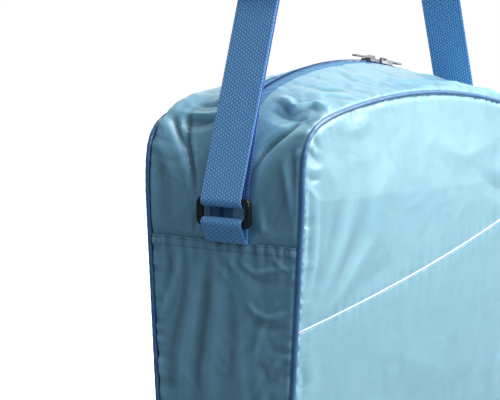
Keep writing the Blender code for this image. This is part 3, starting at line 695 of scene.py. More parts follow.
upper_length = travelled(ridge_over) - TUCK
upper_reach = upper_length[-1] - TUCK
lower_length = travelled(ridge_under)
top_scatter = scattered(11, 190, (-92, 150), (92, upper_reach / MM - 150), 0.0,
                        height=(0.3, 1.2))
end_scatter = scattered(12, 60, (-92, 6), (92, 150), 1.57, height=(0.2, 0.7))
low_scatter = scattered(13, 110, (-88, 8), (88, 190), 1.57, height=(0.2, 0.8))


def upper_folds(y, along):
    """Folds of the upper gusset. The right end repeats the left, turned about."""
    back = upper_reach - along
    left = fold_height(y, along, END_UPPER + end_scatter)
    right = fold_height(-y, back, END_UPPER + end_scatter)
    return left + right + fold_height(y, along, top_scatter)


CALM_FROM, CALM_OVER = 0.150, 0.060
LOWER_SHARE = 0.72                    # the ends below the seam are pulled smoother


def calm_base(distance):
    """0 on the bag's ends, rising to 1 under its base, where nothing is folded."""
    return np.clip((distance - CALM_FROM) / CALM_OVER, 0.0, 1.0)


def lower_folds(y, along):
    """Folds of the lower gusset's two ends. The base between them stays flat."""
    back = lower_length[-1] - along
    left = fold_height(y, along, END_LOWER + low_scatter)
    right = fold_height(-y, back, END_LOWER + low_scatter)
    return LOWER_SHARE * (left + right) * (1.0 - calm_base(np.minimum(along, back)))


def upper_surface(low, high, count):
    """Grid and flat coordinates of a strip of the upper gusset between two depths."""
    y = spread(low, high, count)
    along = np.broadcast_to(upper_length[:, None], y.shape)
    edge = half_depth(seam_over[:, 1])[:, None] - CORD - np.abs(y)
    near_end = np.minimum(along, upper_reach - along)
    tented = np.clip((near_end - 0.130) / 0.110, 0.0, 1.0)
    base_grid = gusset_grid(seam_over, ridge_over, y, 2.2 - 0.9 * tented)
    rise = upper_folds(y, along) * np.clip(edge / (7.0 * MM), 0.2, 1.0)
    rise = rise * np.clip(near_end / (8.0 * MM), 0.0, 1.0)
    rise += seam_pull(np.maximum(edge, 0.0), along, 21)
    rise -= 1.3 * MM * np.clip(1.0 - near_end / (5.0 * MM), 0.0, 1.8)
    return base_grid, rise, np.stack([along, y], axis=-1)


gusset_edge = half_depth(seam_over[:, 1]) - UNDER_CORD
zip_edge = np.full(len(seam_over), ZIP_EDGE)


# %% Upper gusset, front and back
HELD_HALF, HELD_EDGE = 34.0 * MM, 8.0 * MM
HELD_RUN, HELD_END = 0.135, 0.020


def under_strap(y, along):
    """How much the strap holds the cloth down: 1 beneath it, 0 away from it."""
    across = np.clip((HELD_HALF - np.abs(y - STRAP_Y)) / HELD_EDGE, 0.0, 1.0)
    near_end = np.minimum(along, upper_reach - along)
    return across * np.clip((HELD_RUN - near_end) / HELD_END, 0.0, 1.0)


def flattened(rise, flat):
    """Keeps cloth from standing up into the strap, valleys are left alone."""
    held = under_strap(flat[..., 1], flat[..., 0])
    return np.where(rise > 0.0, rise * (1.0 - held), rise * (1.0 - 0.6 * held))


for name, low, high in (("top_gusset_front", -gusset_edge, -zip_edge),
                        ("top_gusset_back", zip_edge, gusset_edge)):
    grid, rise, flat = upper_surface(low, high, 60)
    zip_side = np.abs(np.abs(flat[..., 1]) - ZIP_EDGE)
    rise = flattened(rise, flat) + 0.5 * MM * np.exp(-zip_side / (3.0 * MM))
    piece = cloth(name + "_cloth", grid + outward_normals(grid) * rise[..., None], flat,
                  gusset_cloth_shaded, rise)
    dress(piece, "bag", [name])
    print(f"{piece.name}: {len(piece.data.vertices)} points, "
          f"folds {rise.min() / MM:.1f} to {rise.max() / MM:.1f} mm")

# %% Lower gusset
LOWER_COLUMNS = 100
lower_edge = half_depth(seam_under[:, 1]) - UNDER_CORD
y = spread(-lower_edge, lower_edge, LOWER_COLUMNS)
grid = gusset_grid(seam_under, ridge_under, y, 2.0, base=True)
along = np.broadcast_to(lower_length[:, None], y.shape)
edge = half_depth(seam_under[:, 1])[:, None] - CORD - np.abs(y)
below = np.minimum(along, lower_length[-1] - along)
rise = lower_folds(y, along) * np.clip(edge / (8.0 * MM), 0.15, 1.0)
rise = rise * np.clip(below / (9.0 * MM), 0.0, 1.0)
rise += seam_pull(np.maximum(edge, 0.0), along, 22) * (1.0 - calm_base(below))
rise += end_seam_pull(below, y, 31) + 1.2 * MM * np.exp(-below / (9.0 * MM))
lower_flat = np.stack([along, y], axis=-1)
lower_points = grid + outward_normals(grid) * rise[..., None]
lower_piece = cloth("lower_gusset_cloth", lower_points, lower_flat, gusset_cloth_shaded, rise)
dress(lower_piece, "bag", ["lower_gusset"])
print(f"{lower_piece.name}: {len(lower_piece.data.vertices)} points")

# %% [markdown]
# ## Front and back panels
#
# Each panel is a crowned sheet inside the corded outline. It is built in upright
# columns whose ends sit on the outline, crowded together near the sides, where the
# outline turns fastest. The front has a slanted seam with a thin white piping, and
# below it the cloth is pulled smoother than above.

# %% Panel surface
PANEL_BULGE = 14.0 * MM
TRIM_LEFT_Z, TRIM_SLOPE = 0.177, 0.24
outline = closed_outline(seam_line)
outline_way = np.roll(outline, -1, axis=0) - np.roll(outline, 1, axis=0)
outline_way /= np.linalg.norm(outline_way, axis=1, keepdims=True)
outline_out = np.stack([-outline_way[:, 1], outline_way[:, 0]], axis=1)


def inset_limits(inset):
    """Lowest and highest z at any x inside the outline pulled in by `inset`."""
    inside = outline - outline_out * inset
    top = inside[inside[:, 1] > 0.22]
    low = inside[inside[:, 1] < 0.17]
    top, low = top[np.argsort(top[:, 0])], low[np.argsort(low[:, 0])]
    return (lambda x: np.interp(x, low[:, 0], low[:, 1]),
            lambda x: np.interp(x, top[:, 0], top[:, 1]))


def trim_z(x):
    """Height of the slanted seam."""
    return TRIM_LEFT_Z + TRIM_SLOPE * (np.asarray(x) + seam_line["side"])


def panel_depth(x, z):
    """Distance of a panel's face from the middle plane: a low crown over the panel."""
    middle = seam_line["apex"] * 0.5
    across = 1.0 - np.clip(np.abs(x) / seam_line["side"], 0.0, 1.0) ** 2
    up = 1.0 - np.clip(np.abs(z - middle) / middle, 0.0, 1.0) ** 2
    return half_depth(z) + 0.4 * MM + PANEL_BULGE * across * up


def outline_distance(x, z):
    """Distance inside the corded outline, and how far round it the nearest point is."""
    step = 3
    marks, length = outline[::step], travelled(outline)[::step]
    gap = np.hypot(x[..., None] - marks[:, 0], z[..., None] - marks[:, 1])
    nearest = gap.argmin(axis=-1)
    return gap.min(axis=-1), length[nearest]


def panel_columns(lower, upper, columns, rows):
    """x and z of a panel's points, columns crowded together at the sides."""
    reach = seam_line["side"] - UNDER_CORD
    x = reach * np.sin(np.linspace(-0.5 * math.pi, 0.5 * math.pi, columns))
    z = lower(x)[:, None] + (upper(x) - lower(x))[:, None] * np.linspace(0.0, 1.0, rows)
    return np.broadcast_to(x[:, None], z.shape).copy(), z


# %% Folds of the front panel, as (x, z) in millimetres
FRONT_FOLDS = [
    ([(-188, 376), (-180, 362), (-175, 346)], 2.4, -3.6),
    ([(-180, 380), (-172, 364), (-168, 348)], 3.0, 2.0),
    ([(-191, 354), (-182, 344), (-174, 337)], 2.2, -3.0),
    ([(-193, 338), (-182, 331), (-168, 331)], 2.2, 2.6),
    ([(-193, 327), (-182, 321), (-170, 322)], 2.2, -2.8),
    ([(-193, 318), (-183, 310), (-172, 300)], 2.6, 1.8),
    ([(-188, 314), (-183, 284), (-183, 246), (-187, 214)], 4.0, -4.6),
    ([(-178, 304), (-174, 270), (-178, 228), (-187, 196)], 5.0, 2.8),
    ([(-170, 290), (-168, 250), (-176, 206), (-188, 180)], 5.0, -2.0),
    ([(-124, 306), (-140, 262), (-158, 222), (-182, 182)], 7.0, 4.6),
    ([(-146, 300), (-158, 250), (-172, 214)], 6.0, -3.0),
    ([(-88, 266), (-114, 238), (-142, 206), (-166, 188)], 7.0, 4.2),
    ([(-104, 296), (-126, 252), (-148, 216)], 7.0, -3.2),
    ([(-60, 330), (-90, 300), (-104, 262)], 12.0, 3.0),
    ([(-60, 236), (-90, 222), (-120, 208)], 8.0, -2.4),
    ([(-150, 377), (-120, 380), (-84, 388)], 4.0, -2.6),
    ([(-138, 364), (-112, 366), (-90, 376)], 6.0, 2.0),
    ([(-168, 340), (-150, 320), (-146, 296)], 10.0, 2.4),
    ([(-189, 150), (-181, 128), (-186, 100)], 4.0, -2.8),
    ([(-178, 168), (-168, 130), (-176, 88)], 7.0, 2.2),
    ([(-186, 112), (-176, 104), (-160, 104)], 4.0, 1.6),
    ([(-40, 60), (-80, 80), (-130, 70)], 14.0, 2.4),
    ([(60, 90), (20, 120), (-40, 130)], 16.0, 2.6),
    ([(186, 340), (150, 330), (120, 300)], 9.0, 3.6),
    ([(180, 300), (130, 290), (90, 310)], 8.0, -3.2),
    ([(120, 340), (60, 330), (10, 350)], 10.0, 2.8),
    ([(170, 130), (150, 90), (160, 40)], 9.0, 3.0),
]
panel_scatter = scattered(14, 90, (-185, 20), (185, 380), 0.9, width=(3.0, 7.0),
                          height=(0.2, 0.7))


PANEL_SHARE, PANEL_CRISP = 0.56, 0.7


def panel_cloth_piece(name, lower, upper, rows, side, folds, seed, node):
    """One panel: its crown, its folds and the gathers along its outline."""
    x, z = panel_columns(lower, upper, 150, rows)
    edge, round_way = outline_distance(x, z)
    rise = PANEL_SHARE * fold_height(x, z, folds, crisp=PANEL_CRISP)
    rise = rise * np.clip(edge / (9.0 * MM), 0.1, 1.0)
    rise = rise * np.clip(z / 0.06, 0.0, 1.0)
    rise += seam_pull(np.maximum(edge - CORD, 0.0), round_way, seed, 3.0, 1.2, 0.7)
    if side < 0:
        slant = np.abs(z - trim_z(x))
        rise += 0.45 * MM * np.exp(-slant / (9.0 * MM)) * ripple(x, seed + 1, 7.0, 20.0)
        rise -= 1.1 * MM * np.exp(-slant / (2.2 * MM))
    grid = np.stack([x, side * (panel_depth(x, z) + rise), z], axis=-1)
    piece = cloth(name, grid, np.stack([x, z], axis=-1), panel_cloth, rise)
    dress(piece, "bag", [node])
    print(f"{name}: {len(piece.data.vertices)} points")


low_limit, top_limit = inset_limits(UNDER_CORD)
panel_cloth_piece("front_upper_cloth", trim_z, top_limit, 110, -1.0,
                  FRONT_FOLDS + panel_scatter, 41, "front_panel_upper")
panel_cloth_piece("front_lower_cloth", low_limit, trim_z, 110, -1.0,
                  FRONT_FOLDS + panel_scatter, 41, "front_panel_lower")
back_folds = [([(-x, z) for x, z in points], width, height)
              for points, width, height in FRONT_FOLDS]
panel_cloth_piece("back_cloth", low_limit, top_limit, 150, 1.0,
                  back_folds + panel_scatter, 43, "back_panel")

# %% [markdown]
# ## Cords
#
# Piping is a strip of cloth folded round a filler cord. It is a tube carried round
# the outline. Its radius swells and shrinks a little, since the cloth is gathered
# round the corners, and it lies in a shallow trough between panel and gusset.


# %% Tube along a path
def tube(name, path, radius, material, closed, sides=12, flat_axis=(0.0, 1.0, 0.0)):
    """A round tube: at each point a circle square to the path. radius may vary."""
    path = np.asarray(path, dtype=float)
    count = len(path)
    way = (np.roll(path, -1, 0) - np.roll(path, 1, 0)) if closed else np.gradient(path, axis=0)
    way /= np.linalg.norm(way, axis=1, keepdims=True)
    first = np.cross(way, np.asarray(flat_axis))
    first /= np.linalg.norm(first, axis=1, keepdims=True)
    second = np.cross(way, first)
    angle = np.linspace(0.0, 2.0 * math.pi, sides, endpoint=False)
    radius = np.broadcast_to(np.asarray(radius, dtype=float).reshape(-1, 1, 1), (count, 1, 1))
    ring = (np.cos(angle)[None, :, None] * first[:, None, :]
            + np.sin(angle)[None, :, None] * second[:, None, :])
    points = path[:, None, :] + radius * ring
    index = np.arange(count * sides).reshape(count, sides)
    if closed:
        index = np.concatenate([index, index[:1]], axis=0)
    index = np.concatenate([index, index[:, :1]], axis=1)
    quads = np.stack([index[:-1, :-1], index[:-1, 1:], index[1:, 1:], index[1:, :-1]], axis=-1)
    faces = quads.reshape(-1, 4).tolist()
    if not closed:
        faces += [index[0, :-1].tolist()[::-1], index[-1, :-1].tolist()]
    travel = np.broadcast_to(travelled(path)[:, None], (count, sides))
    uv = np.stack([travel, np.broadcast_to(angle * 0.0025, (count, sides))], axis=-1)
    piece = new_piece(name, points, faces, uv)
    piece.data.materials.append(material)
    return piece


# %% Piping round both panels, and the white piping
round_way = travelled(outline)
for name, side, seed in (("front_piping", -1.0, 51), ("back_piping", 1.0, 52)):
    path = np.stack([outline[:, 0], side * half_depth(outline[:, 1]), outline[:, 1]], axis=1)
    swell = CORD * (1.0 + 0.06 * ripple(round_way, seed, 6.0, 18.0))
    piece = tube(name + "_cord", path, swell, cord_cloth, True)
    dress(piece, "bag", [name])

x = np.linspace(-1.0, 1.0, 160) * (seam_line["side"] - CORD)
z = trim_z(x)
trim = tube("contrast_piping_cord", np.stack([x, 0.3 * MM - panel_depth(x, z), z], axis=1),
            0.95 * MM * (1.0 + 0.05 * ripple(x, 53, 4.0, 12.0)), trim_cloth, False)
dress(trim, "bag", ["contrast_piping"])
print("piping round both panels,", f"{round_way[-1]:.2f} m each")

# %% [markdown]
# ## Zip
#
# The zip is two woven tapes and a moulded coil. The tapes follow the same surface as
# the gusset, with their own small gathers, since the nylon beside them is eased in.
# The coil is a few hundred small arches, one for each tooth, in one light mesh.

# %% Zip tapes
for name, low, high in (("zipper_tape_front", -16.0, -0.3), ("zipper_tape_back", 0.3, 16.0)):
    limits = [np.full(len(seam_over), value * MM) for value in (low, high)]
    grid, rise, flat = upper_surface(*limits, 14)
    wave = 0.35 * MM * ripple(flat[..., 0] + 0.4 * flat[..., 1], 61, 7.0, 15.0)
    rise = 0.5 * flattened(rise, flat) + wave - 0.5 * MM
    normal = outward_normals(grid)
    piece = cloth(name + "_weave", grid + normal * rise[..., None], flat, tape_weave, rise,
                  0.6 * MM)
    dress(piece, "bag", [name])


# %% Coil teeth
def repeated(shape, faces, places, ways, ups):
    """Copies of a small shape. Row i is moved to places[i] with its x along ways[i],
    its z along ups[i] and its y square to both. Everything is one array product."""
    sides = np.cross(ups, ways)
    axes = np.stack([ways, sides, ups], axis=1)
    points = np.einsum("vk,nkc->nvc", shape, axes) + places[:, None, :]
    offset = np.arange(len(places))[:, None] * len(shape)
    made = [(np.asarray(face) + offset).tolist() for face in faces]
    return points.reshape(-1, 3), [face for group in made for face in group]


def run_frames(run, y, lift, pitch):
    """Even stations along a run at depth y: places, ways and outward directions."""
    length = travelled(run)
    at = np.arange(pitch, length[-1] - pitch, pitch)
    place = np.stack([np.interp(at, length, run[:, k]) for k in (0, 1)], axis=1)
    near = np.stack([np.interp(at + 0.5 * MM, length, run[:, k]) for k in (0, 1)], axis=1)
    way = (near - place) / np.linalg.norm(near - place, axis=1, keepdims=True)
    out = np.stack([-way[:, 1], way[:, 0]], axis=1)
    place = place + out * lift
    frames = [np.stack([pair[:, 0], np.full(len(at), depth), pair[:, 1]], axis=1)
              for pair, depth in ((place, y), (way, 0.0), (out, 0.0))]
    return *frames, at


def tooth_shape(side):
    """One coil tooth: a bar bent over the tape's edge, from 2.7 mm out to the middle."""
    across = np.array((2.7, 2.2, 1.1, 0.25, 0.2)) * side * MM
    up = np.array((-0.1, 0.55, 0.75, 0.45, -0.2)) * MM
    half = 0.33 * MM
    ring = [(-half, 0.0), (0.0, half), (half, 0.0), (0.0, -half)]
    shape = np.array([(a, c, u + b) for c, u in zip(across, up) for a, b in ring])
    quads = [[4 * i + k, 4 * i + (k + 1) % 4, 4 * i + 4 + (k + 1) % 4, 4 * i + 4 + k]
             for i in range(4) for k in range(4)]
    faces = quads + [[3, 2, 1, 0], [16, 17, 18, 19]]
    return shape, faces if side > 0 else [face[::-1] for face in faces]


for name, side, shift in (("zipper_coil_front", -1.0, 0.0), ("zipper_coil_back", 1.0, 0.55)):
    shape, faces = tooth_shape(side)
    places, ways, ups, at = run_frames(ridge_over, 0.0, 0.15 * MM, 1.1 * MM)
    points, faces = repeated(shape, faces, places + ways * shift * MM, ways, ups)
    piece = new_piece(name + "_teeth", points, faces)
    piece.data.materials.append(coil_finish)
    dress(piece, "bag", [name])
    print(f"{piece.name}: {len(at)} teeth")

# %% [markdown]
# ## Strap
#
# Webbing keeps its width and thickness wherever it goes, so it is a fixed
# cross-section carried along a path in the plane of the strap. The section has a
# shallow rib for every column of the weave and rounded edges. It is cut into
# lengths: ring to bag, bag to raised strap, and raised strap to adjuster.

# %% Strap sizes from the imported model
ring_low, ring_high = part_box("ring_right")
RING_X = 0.5 * (ring_low[0] + ring_high[0])
RING_LOW_Z = next(j for j in frame["record"]["behaviour"]["joints"]
                  if j["name"] == "ring_right_turn")["pos_m"][2]
RING_PITCH = 22.0 * MM
LEAN = math.radians(16.5)
WEB_WIDTH = 50.0 * MM
WEB = 1.8 * MM
WRAP = 5.3 * MM
PLY = WEB + 0.3 * MM
ARCH_RADIUS = 0.120
ADJUSTER_Z = 0.505
SPLIT = 0.094                         # the lower lengths end this far up the legs
SLOT_HALF = 26.25 * MM                # half the slot that the webbing runs through


def leg_axes(side):
    """Direction up a leg and its outward normal."""
    return (np.array((-side * math.sin(LEAN), math.cos(LEAN))),
            np.array((side * math.cos(LEAN), math.sin(LEAN))))


def leg_point(side, travel, offset):
    """Points `travel` up a leg from the ring's upper bar and `offset` out from it."""
    along, out = leg_axes(side)
    return np.array((side * RING_X, RING_LOW_Z + RING_PITCH)) + along * travel + out * offset


def travel_to(z):
    """Distance up a leg at which it reaches a height."""
    return (z - RING_LOW_Z - RING_PITCH) / math.cos(LEAN)


def inner_offset(side, travel):
    """The inner layer leaves the bar's far side and eases over to the outer layer."""
    converge = 0.095 if side < 0 else 0.045
    share = np.clip(np.asarray(travel) / converge, 0.0, 1.0)
    eased = share * (1.0 + 0.35 * (1.0 - share))
    return -WRAP + eased * (2.0 * WRAP - PLY)


# %% Webbing along a path
def web_section(columns=16):
    """Closed cross-section (across, through): ribbed faces and rounded edges."""
    across = np.linspace(-0.5, 0.5, columns * 3 + 1)[1:-1]
    rib = 0.10 * MM * np.abs(np.sin(math.pi * (across + 0.5) * columns))
    face = np.stack([across * WEB_WIDTH, 0.5 * WEB - 0.12 * MM + rib], axis=1)
    edge = 0.5 * WEB_WIDTH
    end = np.array([(edge - 0.25 * MM, 0.42 * WEB), (edge, 0.2 * WEB),
                    (edge, -0.2 * WEB), (edge - 0.25 * MM, -0.42 * WEB)])
    lower = face[::-1] * np.array((1.0, -1.0))
    return np.concatenate([face, end, lower, end[::-1] * np.array((-1.0, 1.0))])


def even_path(points, spacing):
    """A path resampled at even spacing."""
    points = np.asarray(points, dtype=float)
    length = travelled(points)
    at = np.linspace(0.0, length[-1], max(int(length[-1] / spacing), 2))
    return np.stack([np.interp(at, length, points[:, k]) for k in (0, 1)], axis=1), at


def smoothed(points, passes):
    """A path whose corners are eased by averaging each point with its neighbours."""
    for _ in range(passes):
        points = points.copy()
        points[1:-1] = 0.25 * points[:-2] + 0.5 * points[1:-1] + 0.25 * points[2:]
    return points


def web_strip(name, path, material, start_at=0.0, spacing=1.6 * MM, passes=0):
    """Webbing along a path in the xz plane, with capped ends."""
    path, at = even_path(path, spacing)
    path = smoothed(path, passes)
    way = np.gradient(path, axis=0)
    way /= np.linalg.norm(way, axis=1, keepdims=True)
    out = np.stack([-way[:, 1], way[:, 0]], axis=1)
    section = web_section()
    scallop = 1.0 + 0.004 * np.cos(2.0 * math.pi * (at + start_at) / (3.7 * MM))
    across = section[:, 0][None, :] * scallop[:, None]
    through = section[:, 1][None, :]
    points = np.stack([path[:, :1] + out[:, :1] * through, across + STRAP_Y,
                       path[:, 1:] + out[:, 1:] * through], axis=-1)
    stations, around = points.shape[:2]
    faces = grid_quads(stations, around, closed=True).tolist()
    ends = [list(range(around)), list(range((stations - 1) * around, stations * around))]
    faces += [ends[0], ends[1][::-1]]
    uv = np.stack([np.broadcast_to((at + start_at)[:, None], across.shape),
                   across + 0.5 * WEB_WIDTH], axis=-1)
    piece = new_piece(name, points, faces, uv)
    recalculate(piece)
    piece.data.materials.append(material)
    return piece


def recalculate(piece):
    """Turns a closed mesh's faces outwards."""
    work = bmesh.new()
    work.from_mesh(piece.data)
    bmesh.ops.recalc_face_normals(work, faces=work.faces)
    work.to_mesh(piece.data)
    work.free()


def half_turn(centre, first, across, radius=WRAP, steps=17):
    """Half circle round a bar, from the side `first`, past `across`, to the far side."""
    angle = np.linspace(0.0, math.pi, steps)[:, None]
    return centre + radius * (np.cos(angle) * first + np.sin(angle) * across)


# %% Webbing loops that hold the rings
for side, word in ((-1, "left"), (1, "right")):
    low = np.array((side * RING_X, RING_LOW_Z))
    inner_foot = np.array((side * (RING_X - WRAP - 0.5 * MM), END_SEAM_Z + 0.2 * MM))
    outer_foot = inner_foot + np.array((side * (WEB + 0.6 * MM), 0.0))
    turn = half_turn(low, np.array((-side, 0.0)), np.array((0.0, 1.0)))
    piece = web_strip("webbing_loop_" + word + "_weave",
                      np.concatenate([[inner_foot], turn, [outer_foot]]), strap_weave,
                      spacing=1.2 * MM, passes=2)
    dress(piece, "bag", ["webbing_loop_" + word])

# %% Lower lengths: both layers and the turn round the ring
for side, word in ((-1, "left"), (1, "right")):
    along, out = leg_axes(side)
    high = leg_point(side, 0.0, 0.0)
    inner_end = SPLIT if side < 0 else 0.092
    travel = np.linspace(inner_end, 0.004, 30)
    inner = leg_point(side, travel[:, None], inner_offset(side, travel)[:, None])
    turn = half_turn(high, -out, -along)
    outer = leg_point(side, np.linspace(0.004, SPLIT, 30)[:, None], WRAP)
    front = web_strip("strap_lower_" + word, np.concatenate([turn[8:], outer]), strap_weave)
    back = web_strip("strap_layer_" + word, np.concatenate([inner, turn[:9]]), inner_weave)
    nodes = {"left": (["strap_wrap_left", "strap_leg_left"], ["strap_return_left"]),
             "right": (["strap_wrap_right", "strap_leg_right"], ["strap_end_right"])}[word]
    for piece, stands_for in ((front, nodes[0]), (back, nodes[1])):
        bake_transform(piece)
        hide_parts(*stands_for)

# %% The raised strap and its inner layer
start = leg_point(-1, SPLIT, WRAP)
along, out = leg_axes(-1)
reach = (-ARCH_RADIUS * math.cos(LEAN) - start[0]) / along[0]
tangent = start + along * reach
centre = tangent - out * ARCH_RADIUS
angle = np.linspace(math.pi - LEAN, 0.5 * math.pi, 60)
bend = centre + ARCH_RADIUS * np.stack([np.cos(angle), np.sin(angle)], axis=1)
main_path = mirrored(np.concatenate([[start], bend]))
main = web_strip("strap_main", main_path, strap_weave, start_at=0.098, spacing=2.0 * MM)
inner_top = travel_to(0.458)
inner_low = web_strip("strap_layer_middle",
                      [leg_point(-1, SPLIT, WRAP - PLY), leg_point(-1, inner_top, WRAP - PLY)],
                      inner_weave, start_at=0.098)
for piece, nodes in ((main, ["strap_arch"]), (inner_low, [])):
    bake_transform(piece)
    if nodes:
        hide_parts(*nodes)
inner_high = web_strip("strap_layer_top",
                       [leg_point(-1, inner_top, WRAP - PLY),
                        leg_point(-1, travel_to(ADJUSTER_Z), WRAP - PLY)], inner_weave)
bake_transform(inner_high)
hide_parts("strap_return_upper")
print(f"strap stands {main_path[:, 1].max():.3f} m high")

# %% [markdown]
# ## Rings and adjuster
#
# Both are moulded in one piece: a rounded bar carried round a rounded rectangle. The
# bar is a flattened circle, so the light runs along it in one soft line.


# %% Moulded frames
def rounded_rectangle(half_a, half_b, radius, steps=9):
    """Points round a rectangle with rounded corners, anticlockwise."""
    angle = np.linspace(0.0, 0.5 * math.pi, steps)
    turns = []
    for quarter, (a, b) in enumerate(((1, 1), (-1, 1), (-1, -1), (1, -1))):
        turn = angle + quarter * 0.5 * math.pi
        turns.append(np.stack([a * (half_a - radius) + radius * np.cos(turn),
                               b * (half_b - radius) + radius * np.sin(turn)], axis=1))
    return np.concatenate(turns)


def moulded_frame(name, slot_a, slot_b, bar, half_thick, place, side_extra=0.0):
    """A bar with a squared-off round section, carried round a rounded slot.

    The section is a superellipse of power 2.6. `place` maps (across, along, through)
    arrays to points. `side_extra` thickens the upright sides.
    """
    angle = np.linspace(0.0, 2.0 * math.pi, 20, endpoint=False)
    power = 2.0 / 2.6
    radial = bar * (1.0 + np.sign(np.cos(angle)) * np.abs(np.cos(angle)) ** power)
    through = half_thick * np.sign(np.sin(angle)) * np.abs(np.sin(angle)) ** power
    loops = np.array([rounded_rectangle(slot_a + r, slot_b + r, 1.5 * MM + 0.8 * r)
                      for r in radial])
    a, b = loops[..., 0], loops[..., 1]
    bulge = 1.0 + side_extra * np.clip((np.abs(a) - slot_a) / (2.0 * bar), 0.0, 1.0)
    points = place(a, b, through[:, None] * bulge)
    stations, around = a.shape
    index = np.arange(stations * around).reshape(stations, around)
    index = np.concatenate([index, index[:1]], axis=0)
    index = np.concatenate([index, index[:, :1]], axis=1)
    quads = np.stack([index[:-1, :-1], index[1:, :-1], index[1:, 1:], index[:-1, 1:]], axis=-1)
    piece = new_piece(name, points, quads.reshape(-1, 4))
    recalculate(piece)
    piece.data.materials.append(black_finish)
    return piece


for side, word in ((-1, "left"), (1, "right")):
    def ring_place(across, up, through, side=side):
        """Points on one ring: upright, across the strap's width."""
        middle = RING_LOW_Z + 0.5 * RING_PITCH
        return np.stack([side * RING_X + through + 0.0 * across, across + STRAP_Y + 0.0 * up,
                         middle + up + 0.0 * across], axis=-1)

    piece = moulded_frame("ring_" + word + "_moulded", SLOT_HALF, 7.4 * MM, 3.6 * MM,
                          3.0 * MM, ring_place, side_extra=0.25)
    dress(piece, "ring_" + word, ["ring_" + word])

# %% Adjuster: a three-bar slide with webbing over its middle bar
along, out = leg_axes(-1)
adjuster_middle = leg_point(-1, travel_to(ADJUSTER_Z), WRAP)
adjuster_lift = 0.5 * WEB + 0.3 * MM + 2.0 * MM


def adjuster_place(across, up, through):
    """Points on the adjuster: up along the leg, and out from it past the webbing."""
    spot_x = adjuster_middle[0] + along[0] * up + out[0] * (through + adjuster_lift)
    spot_z = adjuster_middle[1] + along[1] * up + out[1] * (through + adjuster_lift)
    return np.stack([spot_x + 0.0 * across, across + STRAP_Y + 0.0 * spot_x,
                     spot_z + 0.0 * across], axis=-1)


adjuster = moulded_frame("adjuster_moulded", SLOT_HALF, 11.0 * MM, 2.4 * MM, 2.0 * MM,
                         adjuster_place)
dress(adjuster, "adjuster", ["strap_adjuster"])
bar_path = adjuster_place(np.linspace(-28.0, 28.0, 12) * MM, np.zeros(12), np.zeros(12))
bar = tube("adjuster_bar", bar_path, 1.9 * MM, black_finish, False, 14, flat_axis=(0.3, 0.0, 1.0))
dress(bar, "adjuster", [])
hump = np.array([(-10.5, -0.4), (-8.0, 0.6), (-5.5, 2.6), (-3.0, 4.6), (0.0, 5.2),
                 (3.0, 4.6), (5.5, 2.6), (8.0, 0.6), (10.5, -0.4)]) * MM
hump_path = (adjuster_middle + along * hump[:, :1]
             + out * (0.5 * WEB + 1.3 * MM + hump[:, 1:]))
over = web_strip("adjuster_webbing", hump_path, strap_weave, spacing=0.9 * MM, passes=3)
dress(over, "adjuster", ["strap_over_adjuster"])
print("rings and adjuster made")

# %% [markdown]
# ## Stitches
#
# Rows of stitches tell how the bag is put together, so each stitch is a real little
# lozenge of thread lying in the cloth. One shape is repeated along every row.

# %% Stitch rows
STITCH = np.array([(-1.25, 0.0, -0.15), (-0.8, -0.22, 0.05), (-0.8, 0.22, 0.05),
                   (-0.8, 0.0, 0.26), (0.8, -0.22, 0.05), (0.8, 0.22, 0.05),
                   (0.8, 0.0, 0.26), (1.25, 0.0, -0.15)]) * MM
STITCH_FACES = [[0, 1, 3], [0, 3, 2], [1, 4, 6, 3], [3, 6, 5, 2], [4, 7, 6], [6, 7, 5],
                [0, 2, 1], [2, 5, 4, 1], [5, 7, 4]]


def stitch_row(path, outward, pitch=3.4 * MM):
    """Places, ways and outward directions of stitches along a 3-D path."""
    length = travelled(path)
    at = np.arange(0.5 * pitch, length[-1], pitch)

    def read(rows, spots):
        """Rows of three numbers read at distances along the path."""
        return np.stack([np.interp(spots, length, rows[:, k]) for k in range(3)], axis=1)

    place, up = read(path, at), read(outward, at)
    way = read(path, at + 0.4 * MM) - read(path, at - 0.4 * MM)
    way /= np.linalg.norm(way, axis=1, keepdims=True)
    up -= way * np.sum(up * way, axis=1, keepdims=True)
    up /= np.linalg.norm(up, axis=1, keepdims=True)
    return place, way, up


def stitch_piece(name, rows, material, body):
    """One mesh of every stitch in several rows."""
    places, ways, ups = (np.concatenate(parts) for parts in zip(*rows))
    points, faces = repeated(STITCH, STITCH_FACES, places, ways, ups)
    piece = new_piece(name, points, faces)
    recalculate(piece)
    piece.data.materials.append(material)
    dress(piece, body, [])
    print(f"{name}: {len(places)} stitches")


def surface_row(grid, flat, fixed_axis, value):
    """A row of surface points where one flat coordinate has a given value."""
    normal = outward_normals(grid)
    if fixed_axis == 0:
        pick = np.abs(flat[:, 0, 0] - value).argmin()
        return grid[pick] + normal[pick] * 0.12 * MM, normal[pick]
    pick = np.abs(flat[0, :, 1] - value).argmin()
    return grid[:, pick] + normal[:, pick] * 0.12 * MM, normal[:, pick]


end_rows = []
for down in (STITCH_HIGH, STITCH_LOW):
    end_rows.append(stitch_row(*surface_row(lower_points, lower_flat, 0, down)))
    end_rows.append(stitch_row(*surface_row(lower_points, lower_flat, 0,
                                            lower_length[-1] - down)))
stitch_piece("end_seam_stitches", end_rows, thread_finish, "bag")

x = np.linspace(-0.985, 0.985, 300) * (seam_line["side"] - CORD)
z = trim_z(x) - 3.6 * MM
row = np.stack([x, -(panel_depth(x, z) + 0.5 * MM), z], axis=1)
stitch_piece("trim_stitches", [stitch_row(row, np.tile((0.0, -1.0, 0.0), (len(x), 1)))],
             thread_finish, "bag")

# %% [markdown]
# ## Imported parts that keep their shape
#
# The sliders, their pulls, the bindings and the base board already have the right
# shape, so they only get a better finish.

